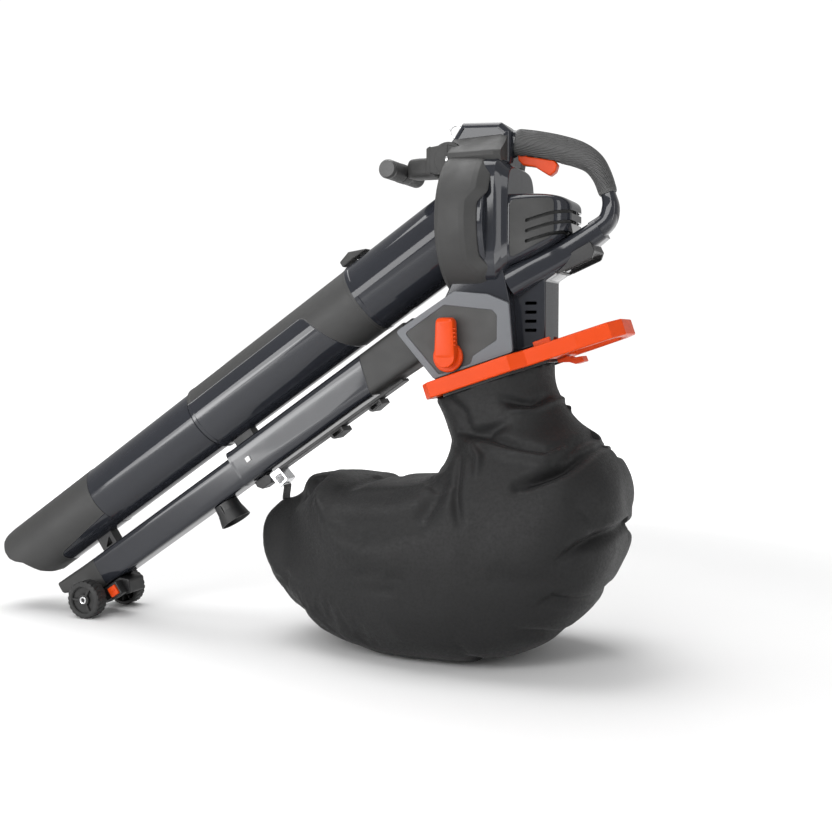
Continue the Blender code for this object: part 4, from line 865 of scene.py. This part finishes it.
def battery_dock():
    outline = [(0.4665, 0.589), (0.519, 0.6125), (0.5225, 0.623), (0.516, 0.6362), (0.497, 0.6262),
               (0.4665, 0.608)]
    channel = [(0.472, 0.581), (0.53, 0.607), (0.53, 0.624), (0.472, 0.5985)]
    body = cut(plate([rounded(outline, 0.0015, 3)], -0.034, 0.034, 0.001),
               [plate([channel], -0.028, 0.028)])
    rails = [block((0.046, 0.0022, 0.003), (0.0, y, 0.0), 0.0006) for y in (-0.0262, 0.0262)]
    blades = [block((0.016, 0.0012, 0.006), (-0.004, y, 0.0075), 0.0003)
              for y in (-0.012, -0.004, 0.004, 0.012)]
    place = at(0.4975, 0.0, 0.603) @ Matrix.Rotation(-math.radians(24.0), 4, "Y")
    dock = joined(body, moved(joined(*rails, *blades), place))
    show("dock_shell", dock, BLACK, ["battery_dock"])


# ---------------------------------------------------------------- handles

def grip():
    """Rubber sleeve on the rear handle, with fine grooves that wind slowly along it."""
    rows = smooth_rows(HANDLE_ROWS[1:8], 26)
    sides = 240
    outer = bar_along(rows, 2.7, sides, 0.003)
    inner = bar_along(rows, 2.7, sides, 0.0004)
    length = 0.0
    for index in range(len(outer)):
        if index:
            length += math.dist(rows[index][:2], rows[index - 1][:2])
        edge = min(1.0, min(index, len(outer) - 1 - index) / 9.0)
        for k in range(sides):
            turn = 2.0 * math.pi * k / sides
            mirror = math.copysign(1.0, math.cos(turn))
            wave = math.sin(2.0 * math.pi * length / 0.011 + 30.0 * mirror * math.asin(math.sin(turn)))
            groove = max(0.0, min(1.0, 0.5 + 1.1 * wave))
            depth = 0.0012 * groove * edge * min(1.0, 2.5 * abs(math.cos(turn)))
            step = inner[index][k] - outer[index][k]
            outer[index][k] = outer[index][k] + step.normalized() * (depth + 0.0014 * (1.0 - edge) ** 2)
    body = loft(outer + inner[::-1], caps=False, sharp=60.0)
    slot = [(0.39, 0.73), (0.39, 0.785), (0.4625, 0.775), (0.4625, 0.725)]
    return cut(body, [plate([rounded(slot, 0.002)], -0.0092, 0.0092)], solver="MANIFOLD")


def rear_handle():
    show("grip_sleeve", grip(), RUBBER, ["handle_grip"], crisp=False)
    outline = [(0.3975, 0.764), (0.3968, 0.78), (0.402, 0.7835), (0.4075, 0.78), (0.411, 0.769),
               (0.43, 0.7655), (0.454, 0.7605), (0.459, 0.754), (0.4555, 0.7435), (0.447, 0.7375),
               (0.436, 0.7445), (0.424, 0.7525), (0.405, 0.756)]
    bore = moved(rod(0.00185, -0.02, 0.02, "Y", 32), at(0.402, 0, 0.7775))
    lever = cut(plate([rounded(outline, 0.004)], -0.0078, 0.0078, 0.0022, 4), [bore])
    show("trigger_lever", lever, ORANGE, ["trigger"], body="trigger")


def front_handle():
    line = at(0.205, 0.0, 0.754)
    stem = [(0.202, 0.0105, 0.746, 0.766), (0.2165, 0.011, 0.746, 0.766), (0.2215, 0.019, 0.745, 0.77),
            (0.227, 0.0245, 0.744, 0.7735), (0.24, 0.026, 0.744, 0.7745), (0.256, 0.0275, 0.744, 0.7745),
            (0.266, 0.034, 0.745, 0.777)]
    stem = loft([oval(*row, 4.5, 96) for row in smooth_rows(stem, 6)])
    yoke = rounded([(0.262, 0.748), (0.2705, 0.744), (0.269, 0.788), (0.262, 0.784)], 0.0025)
    pieces = [stem, plate([yoke], -0.045, 0.045, 0.0022)]
    for _, side in SIDES:
        low, high = sorted((side * 0.0346, side * 0.045))
        disc = turned_on(side, [(0.0346, 0.0043), (0.0346, 0.026), (0.045, 0.026), (0.045, 0.0215),
                         (0.044, 0.0205), (0.044, 0.011), (0.045, 0.01), (0.045, 0.0043)], 120, 0.0006)
        pieces.append(moved(disc, PIVOT))
        link = rounded([(0.264, 0.747), (0.297, 0.7425), (0.297, 0.7895), (0.264, 0.785)], 0.002)
        pieces.append(plate([link], low + 0.0002, high - 0.0004, 0.0012))
    boss = turned([(-0.0123, 0.0), (-0.0123, 0.0152), (0.0123, 0.0152), (0.0123, 0.0)], "Y", 96, 0.0015)
    pieces += [moved(boss, line), moved(rod(0.008, -0.0575, 0.0575, "Y", 64), line)]
    show("front_handle_arm", joined(*pieces), MATTE, ["front_handle"], body="front_handle")
    profile = [(0.0125, 0.0083), (0.0125, 0.0145)]
    for k in range(9):
        start = 0.017 + 0.0045 * k
        profile += [(start, 0.0147), (start + 0.0006, 0.0141), (start + 0.0016, 0.0141),
                    (start + 0.0022, 0.0148)]
    profile += [(0.0605, 0.0149), (0.065, 0.0125), (0.065, 0.0), (0.0585, 0.0), (0.0585, 0.0083)]
    for name, side in SIDES:
        sleeve = moved(turned_on(side, profile, 96, 0.0006), line)
        show("front_grip_sleeve_" + name, sleeve, RUBBER, ["front_grip_" + name], body="front_handle")
    pin = [(-0.0462, 0.0), (-0.0462, 0.003), (-0.0456, 0.004), (0.0456, 0.004), (0.0462, 0.003),
           (0.0462, 0.0)]
    show("pivot_pin", moved(turned(pin, "Y", 48), PIVOT), STEEL, ["front_handle_pin"])


def strap_ring():
    slope = math.atan2(0.024, 0.016)
    centre = at(0.3026 - 0.0095 * math.sin(slope), 0.0, 0.809 + 0.0095 * math.cos(slope))
    wire = [(0.0014 * math.cos(math.radians(22.5 * k)), 0.0095 + 0.0014 * math.sin(math.radians(22.5 * k)))
            for k in range(16)]
    show("strap_ring_wire", moved(turned(wire, "Y", 96), centre), STEEL, ["strap_ring"], body="strap_ring")
    turn = at(0.3026, 0, 0.809) @ Matrix.Rotation(-slope, 4, "Y")
    loop = cut(block((0.007, 0.008, 0.007), bevel=0.0016), [rod(0.0023, -0.01, 0.01, "X", 32)])
    show("strap_eye_block", moved(loop, turn), STEEL, ["strap_eye"])


# ---------------------------------------------------------------- duct sides and selector knob

PANEL_OUTLINE = [
    (0.2235, 0.504), (0.319, 0.565), (0.371, 0.56), (0.4045, 0.5465), (0.411, 0.4735), (0.2865, 0.4316)]
INSET_OUTLINE = [
    (0.2395, 0.5015), (0.303, 0.544), (0.379, 0.536), (0.386, 0.528), (0.386, 0.4915), (0.349, 0.468),
    (0.345, 0.456), (0.295, 0.439)]


def side_panels():
    rim = rounded(PANEL_OUTLINE, 0.006)
    inset = rounded(INSET_OUTLINE, 0.005)
    for name, side in SIDES:
        low, high = sorted((side * 0.0693, side * PANEL_OUT))
        floor_low, floor_high = sorted((side * 0.0693, side * (PANEL_OUT - 0.0014)))
        floor = plate([inset], floor_low, floor_high)
        show("duct_panel_" + name, joined((plate([rim, inset], low, high, 0.0012), 0), (floor, 1)),
             [PANEL, INSET], ["side_panel_" + name])


def selector_knob():
    x, z = KNOB
    base = turned([(-0.0835, 0.0), (-0.0835, 0.0215), (-0.0815, 0.0232), (-0.0758, 0.0232), (-0.0758, 0.0)],
                  "Y", 96, 0.0006)
    core = turned([(-0.0972, 0.0), (-0.0972, 0.016), (-0.078, 0.016), (-0.078, 0.0)], "Y", 96, 0.0015)
    lever = rounded([(x - 0.0175, z - 0.004), (x + 0.0175, z - 0.004), (x + 0.014, z + 0.059),
                    (x - 0.015, z + 0.059)], 0.009, 6)
    pieces = [moved(base, at(x, 0, z)), moved(core, at(x, 0, z)),
              plate([lever], -0.0985, -0.0768, 0.0062, 1)]
    for k in range(5):
        pieces.append(block((0.006, 0.006, 0.0018), (x + 0.0145, -0.093, z + 0.018 + 0.006 * k), 0.0005))
    show("selector_knob", joined(*pieces), ORANGE, ["mode_knob"], body="mode_selector")


# ---------------------------------------------------------------- bag band, rail and strap

def mirrored(points):
    return points + [(x, -y) for x, y in reversed(points)]


def bag_band():
    outer = mirrored([(-0.022, -0.07), (-0.008, -0.088), (0.125, -0.088), (0.147, -0.071), (0.225, -0.066),
                     (0.276, -0.058), (0.293, -0.036)])
    neck = mirrored([(0.004, -0.068), (0.01, -0.078), (0.119, -0.078), (0.139, -0.062), (0.176, -0.06)])
    loop = mirrored([(0.194, -0.05), (0.222, -0.053), (0.266, -0.047), (0.278, -0.031)])
    outlines = [rounded(outer, 0.0025), rounded(neck, 0.004), rounded(loop, 0.006)]
    band = plate(outlines, 0.0003, BAND_T, 0.0024, 4)
    catches = [block((0.027, 0.007, 0.01), (0.172, y, 0.003), 0.0012) for y in (-0.0462, 0.0462)]
    band = joined(moved(band, FLAT), *catches)
    show("bag_band", band, ORANGE, ["bag_frame"], BAND, body="bag")
    ring_out = mirrored([(0.0048, -0.0675), (0.0105, -0.0773), (0.1187, -0.0773), (0.1385, -0.0613),
                        (0.1753, -0.0593)])
    ring_in = mirrored([(0.009, -0.065), (0.013, -0.0735), (0.1165, -0.0735), (0.1365, -0.0575),
                       (0.1705, -0.0555)])
    ring = plate([rounded(ring_out, 0.004), rounded(ring_in, 0.004)], 0.0015, BAND_T + 0.004, 0.0008)
    show("neck_ring_trim", moved(ring, FLAT), BLACK, ["bag_neck_ring"], BAND, body="bag")
    outline = [(0.178, -0.0262), (0.195, -0.0262), (0.201, -0.031), (0.216, -0.033), (0.2165, -0.042),
               (0.203, -0.0415), (0.195, -0.036), (0.178, -0.031)]
    show("latch_lever", plate([rounded(outline, 0.0012)], -0.016, 0.016, 0.001), ORANGE, ["bag_latch"],
         BAND, body="bag_latch")


def rail_and_strap():
    outline = [(-0.345, -0.1384), (-0.318, -0.1384), (-0.316, -0.142), (-0.02, -0.1418), (-0.02, -0.147),
               (-0.312, -0.1475), (-0.318, -0.156), (-0.338, -0.156), (-0.345, -0.148)]
    show("rail_bar", plate([rounded(outline, 0.0012)], -0.0125, 0.0125, 0.0008), BLACK, ["bag_rail"], TUBE)
    for name, station in (("front", -0.165), ("rear", -0.083)):
        start, end = station - 0.013, station + 0.013
        hook = [(start, -0.148), (end, -0.148), (end, -0.157), (start + 0.004, -0.159), (start, -0.1555)]
        hole = [(start + 0.004, -0.1505), (end - 0.004, -0.1505), (end - 0.004, -0.155),
                (start + 0.005, -0.156)]
        clip = plate([rounded(hook, 0.0015), rounded(hole, 0.001)], -0.0165, 0.0165, 0.0006)
        show("rail_keeper_" + name, clip, BLACK, ["rail_clip_" + name], TUBE)
    saddle = [(-0.312, -0.143), (-0.29, -0.143), (-0.286, -0.168), (-0.308, -0.172)]
    bar = [(-0.33, -0.13), (-0.27, -0.13), (-0.27, -0.1478), (-0.3122, -0.1478), (-0.3176, -0.1563)]
    hole = [(-0.3055, -0.152), (-0.292, -0.152), (-0.29, -0.1645), (-0.304, -0.1675)]
    hook = cut(plate([rounded(saddle, 0.003), rounded(hole, 0.002)], -0.015, 0.015, 0.0006),
               [plate([bar], -0.0128, 0.0128)])
    show("hook_wire", hook, STEEL, ["bag_hook"], TUBE)
    profile = [(-0.1382, 0.0), (-0.1382, 0.0215), (-0.152, 0.0225), (-0.1735, 0.0275), (-0.174, 0.0255),
               (-0.153, 0.0203), (-0.1415, 0.0195), (-0.1415, 0.0)]
    horn = moved(turned(profile, "Z", 96, 0.0005), at(-0.42, 0.0, 0.0015))
    ribs = []
    for angle in (180.0, 270.0, 0.0, 90.0):
        rib = block((0.003, 0.0022, 0.026), (0.0226, 0.0, -0.0145), 0.0006)
        rib.transform(at(-0.42, 0.0, -0.138) @ Matrix.Rotation(math.radians(angle), 4, "Z"))
        ribs.append(rib)
    show("socket_horn", joined(horn, *ribs), BLACK, ["accessory_socket"], TUBE)


# ---------------------------------------------------------------- collection bag

# Sections fan round the inner corner of the sack: (inner x, inner z, outer x, outer z, half width)
BAG_SECTIONS = [
    (0.268, base_z(0.268) - 0.0262, 0.452, base_z(0.452) - 0.0262, 0.078),
    (0.283, 0.366, 0.456, 0.418, 0.076), (0.293, 0.335, 0.487, 0.372, 0.088),
    (0.293, 0.308, 0.532, 0.336, 0.116), (0.287, 0.288, 0.563, 0.288, 0.139),
    (0.273, 0.275, 0.572, 0.238, 0.155), (0.25, 0.268, 0.567, 0.187, 0.166),
    (0.222, 0.264, 0.549, 0.134, 0.172), (0.19, 0.262, 0.517, 0.085, 0.175),
    (0.158, 0.262, 0.466, 0.04, 0.175), (0.126, 0.264, 0.4, 0.01, 0.173), (0.098, 0.268, 0.318, 0.0, 0.17),
    (0.072, 0.272, 0.232, 0.0, 0.165), (0.058, 0.276, 0.163, 0.005, 0.158),
    (0.048, 0.272, 0.104, 0.024, 0.149), (0.038, 0.262, 0.055, 0.056, 0.137),
    (0.029, 0.248, 0.016, 0.096, 0.123), (0.016, 0.238, -0.01, 0.134, 0.104),
    (0.003, 0.233, -0.024, 0.165, 0.08), (-0.01, 0.23, -0.03, 0.19, 0.05),
    (-0.02, 0.224, -0.031, 0.205, 0.02)]


def bag_rings(sides, steps):
    rings = []
    for x0, z0, x1, z1, half_w in smooth_rows(BAG_SECTIONS, steps):
        middle = Vector((0.5 * (x0 + x1), 0.0, 0.5 * (z0 + z1)))
        reach = Vector((0.5 * (x1 - x0), 0.0, 0.5 * (z1 - z0)))
        front = min(1.0, max(0.0, (0.2 - middle.x) / 0.16))
        power = 2.3 + 1.1 * (1.0 - 0.4 * front) * min(1.0, max(0.0, (half_w - 0.09) / 0.05))
        ring = []
        for c, w in unit_loop(power, sides):
            across = half_w * w * (1.0 - 0.75 * front * (0.5 - 0.5 * c))
            ring.append(middle + reach * c + Vector((0.0, across, 0.0)))
        rings.append(ring)
    return rings


def crease(flat, line, width):
    """Nearness of each side-view point to a bent line: one on it, fading across and at its ends."""
    line = [np.array(point) for point in line]
    total = sum(np.linalg.norm(b - a) for a, b in zip(line, line[1:]))
    best = np.zeros(len(flat))
    done = 0.0
    for a, b in zip(line, line[1:]):
        along = b - a
        length = np.linalg.norm(along)
        share = np.clip(((flat - a) @ along) / (length * length), 0.0, 1.0)
        away = np.linalg.norm(flat - (a + share[:, None] * along), axis=1)
        fade = np.sin(np.pi * np.clip(0.12 + 0.76 * (done + share * length) / total, 0.0, 1.0))
        best = np.maximum(best, fade * np.exp(-(away / width) ** 2))
        done += length
    return best


FOLD_STRENGTH = 1.6
SOLE_HEIGHT = 0.012
SOLE_GAP = 0.0006
SETTLE_FRAMES = 20
SACK_VOXEL = 0.0055
# Folds in side view: (bent line of x, z; width; depth, below zero for a raised ridge)
FOLDS = [
    ([(0.361, 0.339), (0.413, 0.328), (0.473, 0.323), (0.515, 0.345)], 0.0075, -0.006),
    ([(0.326, 0.353), (0.379, 0.348), (0.43, 0.338), (0.47, 0.332), (0.495, 0.342)], 0.0065, 0.0065),
    ([(0.44, 0.284), (0.463, 0.293), (0.503, 0.312), (0.535, 0.336)], 0.0085, 0.013),
    ([(0.396, 0.403), (0.437, 0.395), (0.452, 0.406)], 0.0065, 0.0055),
    ([(0.406, 0.386), (0.442, 0.389), (0.47, 0.404)], 0.0055, -0.004),
    ([(0.351, 0.355), (0.377, 0.357), (0.403, 0.366)], 0.0085, 0.0065),
    ([(0.348, 0.338), (0.372, 0.319), (0.374, 0.297)], 0.0065, -0.0045),
    ([(0.335, 0.325), (0.339, 0.311), (0.347, 0.267), (0.361, 0.229)], 0.0075, 0.005),
    ([(0.327, 0.293), (0.306, 0.248), (0.296, 0.223)], 0.015, 0.006),
    ([(0.595, 0.216), (0.569, 0.216), (0.532, 0.202), (0.502, 0.18)], 0.0085, 0.009),
    ([(0.545, 0.108), (0.52, 0.115), (0.497, 0.123), (0.472, 0.111)], 0.011, 0.0085),
    ([(0.495, 0.048), (0.475, 0.062), (0.446, 0.074)], 0.01, 0.0065),
    ([(0.395, -0.01), (0.376, 0.004), (0.362, 0.025)], 0.01, 0.005),
    ([(0.528, 0.352), (0.508, 0.343), (0.496, 0.322)], 0.0075, 0.008),
    ([(0.17, 0.285), (0.16, 0.273), (0.143, 0.265)], 0.011, 0.0055),
    ([(0.085, 0.264), (0.067, 0.245), (0.04, 0.232)], 0.009, 0.006),
    ([(0.52, 0.27), (0.548, 0.24), (0.556, 0.205)], 0.012, 0.004),
    ([(0.3, 0.405), (0.33, 0.38), (0.345, 0.35)], 0.01, 0.0045),
    ([(0.01, 0.15), (0.045, 0.12), (0.09, 0.11)], 0.013, 0.0012),
    ([(0.06, 0.06), (0.095, 0.075), (0.15, 0.07)], 0.013, 0.0012),
    ([(0.16, 0.01), (0.185, 0.035), (0.24, 0.045)], 0.013, 0.001),
    ([(0.52, 0.16), (0.47, 0.15), (0.42, 0.155)], 0.016, 0.0035)]


def mesh_points(mesh):
    return vectors(mesh.vertices, "co")


def set_points(mesh, points):
    mesh.vertices.foreach_set("co", points.astype(np.float32).ravel())
    mesh.update()


def store_weave(mesh, flat):
    """Keep flat cloth coordinates, in metres, for the woven finish."""
    layer = mesh.attributes.new("weave", "FLOAT_VECTOR", "POINT")
    layer.data.foreach_set("vector", flat.astype(np.float32).ravel())


def folded(mesh):
    """Press the folds into both sides of the sack, the far ones drifting a little, and flatten its sole."""
    points = mesh_points(mesh)
    normals = vectors(mesh.vertex_normals, "vector")
    drift = np.where(points[:, 1] > 0.02, 1.0, 0.0)[:, None] * np.array([-0.016, 0.009])
    flat = points[:, [0, 2]] + drift
    sink = FOLD_STRENGTH * sum(depth * crease(flat, line, width) for line, width, depth in FOLDS)
    swell = np.array([noise.noise(Vector(p) * 11.0) + 0.4 * noise.noise(Vector(p) * 27.0) for p in points])
    points -= normals * (sink - 0.0022 * swell)[:, None]
    share = np.clip(points[:, 2] / SOLE_HEIGHT, 0.0, 1.0)
    sole = SOLE_GAP + (SOLE_HEIGHT - SOLE_GAP) * share ** 1.8
    points[:, 2] = np.where(points[:, 2] < SOLE_HEIGHT, sole, points[:, 2])
    set_points(mesh, points)
    return mesh


def relaxed(obj, start_at, cap):
    """Let the sack settle under a little inner pressure, held at its neck; no point moves past the cap."""
    remesh = obj.modifiers.new("even", "REMESH")
    remesh.mode = "VOXEL"
    remesh.voxel_size = SACK_VOXEL
    bake(obj)
    before = mesh_points(obj.data)
    hold = obj.vertex_groups.new(name="hold")
    for index, point in enumerate(before):
        grip_share = min(1.0, max(0.0, (point[2] - start_at) / 0.03))
        hold.add([index], max(grip_share, 1.0 if point[2] < 0.006 else 0.0), "REPLACE")
    cloth = obj.modifiers.new("cloth", "CLOTH")
    cloth.settings.use_pressure = True
    cloth.settings.uniform_pressure_force = 3.0
    cloth.settings.vertex_group_mass = "hold"
    cloth.settings.quality = 4
    cloth.settings.bending_stiffness = 0.4
    cloth.settings.effector_weights.gravity = 0.0
    cloth.point_cache.frame_end = SETTLE_FRAMES
    for index in range(1, SETTLE_FRAMES + 1):
        bpy.context.scene.frame_set(index)
    bake(obj)
    bpy.context.scene.frame_set(1)
    after = mesh_points(obj.data)
    step = after - before
    length = np.linalg.norm(step, axis=1)
    step *= (np.minimum(length, cap) / np.maximum(length, 1e-9))[:, None]
    set_points(obj.data, before + step)


def bake(obj):
    mesh = evaluated(obj)
    obj.modifiers.clear()
    obj.data = mesh


def round_the_sack(mesh):
    """Flat cloth coordinates: the way round the sack and the height."""
    points = mesh_points(mesh)
    around = np.arctan2(points[:, 1] / 0.17, (points[:, 0] - 0.28) / 0.29) * 0.235
    return np.stack([around, points[:, 2], np.zeros(len(points))], axis=1)


def collection_bag():
    sack = loft(bag_rings(144, 6), sharp=180.0)
    obj = show("collection_sack", sack, BAG_CLOTH, ["collection_bag"], body="bag", crisp=False)
    relaxed(obj, 0.345, 0.006)
    obj.data.materials.clear()
    obj.data.materials.append(BAG_CLOTH)
    smooth = obj.modifiers.new("fine", "SUBSURF")
    smooth.levels = 1
    smooth.render_levels = 1
    bake(obj)
    folded(obj.data)
    obj.data.shade_smooth()
    store_weave(obj.data, round_the_sack(obj.data))
    return obj


def hanging_strap():
    """Webbing loop from the hook down to the front end of the sack."""
    strap = block((0.0022, 0.0245, 0.025), (0.0, 0.0, 0.0), 0.0007)
    bm = bmesh.new()
    bm.from_mesh(strap)
    long_edges = [e for e in bm.edges if abs(e.verts[0].co.z - e.verts[1].co.z) > 0.015]
    bmesh.ops.subdivide_edges(bm, edges=long_edges, cuts=10)
    strap = finished(bm)
    points = mesh_points(strap)
    store_weave(strap, points[:, [1, 2, 0]])
    points[:, 0] += 0.0012 * np.sin(points[:, 2] * 160.0)
    set_points(strap, points)
    show("hanging_strap", strap, STRAP_CLOTH, ["bag_strap"], WORLD @ at(-0.006, 0.0, 0.23625))


# ---------------------------------------------------------------- parts that keep their CAD mesh

def inner_parts():
    finish = {"motor_mount": STEEL, "motor_can": STEEL, "stator_winding": COPPER, "rotor_core": LAMINATION,
              "motor_shaft": STEEL, "front_bearing": STEEL, "rear_bearing": STEEL, "impeller_nut": STEEL,
              "impeller": BLACK, "controller_board": BOARD, "diverter_shaft": STEEL, "diverter_flap": BLACK,
              "trigger_pin": STEEL, "trigger_spring": STEEL, "trigger_switch": BLACK,
              "tube_lock_spring": STEEL}
    for name, mat in finish.items():
        NODES[name].data.materials.clear()
        NODES[name].data.materials.append(mat)


# ---------------------------------------------------------------- floor, light and camera

SKY_STRENGTH = 0.45
SKY_BOOST = 0.6
FLOOR_HALF = 16.0
CAMERA_YAW = math.radians(21.5)
CAMERA_DROP = math.radians(4.0)
CAMERA_HALF_VIEW = math.radians(20.0)


def floor():
    """Pale floor that brightens to plain white away from the object."""
    corners = [(-FLOOR_HALF, -FLOOR_HALF), (FLOOR_HALF, -FLOOR_HALF), (FLOOR_HALF, FLOOR_HALF),
               (-FLOOR_HALF, FLOOR_HALF)]
    bm = bmesh.new()
    bm.faces.new([bm.verts.new((x, y, -0.0004)) for x, y in corners])
    mesh = finished(bm, "floor", 180.0)
    sh = Shader("floor_finish", Roughness=0.7)
    sh.surface(Base_Color=sh.mix(sh.noise(3.0), (0.86, 0.86, 0.86, 1.0), (0.88, 0.88, 0.88, 1.0)))
    away = sh.add("ShaderNodeVectorMath", {"operation": "LENGTH"}, {0: sh.place}).outputs["Value"]
    glow = sh.add("ShaderNodeMapRange", {"interpolation_type": "SMOOTHSTEP"},
                  {0: away, 1: 1.0, 2: 2.6, 3: 0.0, 4: 0.9})
    sh.surface(Emission_Color=(1.0, 1.0, 1.0, 1.0), Emission_Strength=glow.outputs[0])
    mesh.materials.append(sh.mat)
    obj = placed("floor", mesh)


def area_light(name, size, power, place):
    light = bpy.data.lights.new(name, "AREA")
    light.shape = "RECTANGLE"
    light.size, light.size_y = size
    light.energy = power
    obj = placed(name, light)
    obj.matrix_world = place


def softbox(name, aim, direction, distance, size, power):
    """Rectangular light that looks at a point from a direction."""
    direction = Vector(direction).normalized()
    turn = direction.to_track_quat("Z", "Y").to_matrix().to_4x4()
    area_light(name, size, power, Matrix.Translation(Vector(aim) + direction * distance) @ turn)


def strip_along_tubes(aim, view, angle, distance, size, power):
    """A strip parallel to the tubes, turned up about them from the viewing direction."""
    axis = Vector((math.cos(TILT), 0.0, math.sin(TILT)))
    flat = (view - axis * view.dot(axis)).normalized()
    up = flat.cross(axis)
    if up.z < 0.0:
        up = -up
    direction = flat * math.cos(angle) + up * math.sin(angle)
    basis = Matrix((axis, direction.cross(axis), direction)).transposed().to_4x4()
    area_light("strip", size, power, Matrix.Translation(Vector(aim) + direction * distance) @ basis)


def camera():
    yaw, drop = CAMERA_YAW, CAMERA_DROP
    ahead = Vector((-math.sin(yaw) * math.cos(drop), math.cos(yaw) * math.cos(drop), -math.sin(drop)))
    right = Vector((math.cos(yaw), math.sin(yaw), 0.0))
    up = right.cross(ahead)
    data = bpy.data.cameras.new("camera")
    data.sensor_width = 36.0
    data.lens = 0.5 * data.sensor_width / math.tan(CAMERA_HALF_VIEW)
    obj = placed("camera", data)
    basis = Matrix((right, up, -ahead)).transposed().to_4x4()
    obj.matrix_world = Matrix.Translation((SHIFT_X + 0.8983, -1.7019, 0.4973)) @ basis
    bpy.context.scene.camera = obj
    return -ahead


def studio(view):
    """Dim white surroundings that look white to the camera, and four soft lights."""
    world = bpy.data.worlds.new("studio")
    bpy.context.scene.world = world
    world.use_nodes = True
    tree = world.node_tree
    strength = tree.nodes["Background"].inputs["Strength"]
    tree.nodes["Background"].inputs["Color"].default_value = (1.0, 1.0, 1.0, 1.0)
    ray = tree.nodes.new("ShaderNodeLightPath").outputs["Is Camera Ray"]
    boost = tree.nodes.new("ShaderNodeMath")
    boost.operation = "MULTIPLY_ADD"
    boost.inputs[1].default_value = SKY_BOOST
    boost.inputs[2].default_value = SKY_STRENGTH
    tree.links.new(ray, boost.inputs[0])
    tree.links.new(boost.outputs[0], strength)
    strip_along_tubes((-0.12, 0.0, 0.38), view, math.radians(29.0), 2.6, (4.0, 0.8), 62.0)
    softbox("overhead", (0.1, 0.0, 0.3), (-0.25, 0.15, 1.0), 2.4, (2.6, 1.8), 62.0)
    softbox("right_side", (0.3, 0.0, 0.4), (1.0, -0.3, 0.25), 2.2, (0.5, 1.8), 8.0)
    softbox("low_left", (0.0, 0.0, 0.35), (-0.5, -0.86, -0.05), 2.5, (0.75, 0.45), 3.4)
    bpy.context.scene.view_settings.view_transform = "Standard"


suction_tubes()
blow_tubes()
tube_clips()
wheel_bracket()
wheels()
housing()
bumper_pads()
motor_cover()
battery_dock()
rear_handle()
front_handle()
strap_ring()
side_panels()
selector_knob()
bag_band()
rail_and_strap()
collection_bag()
hanging_strap()
inner_parts()
floor()
studio(camera())
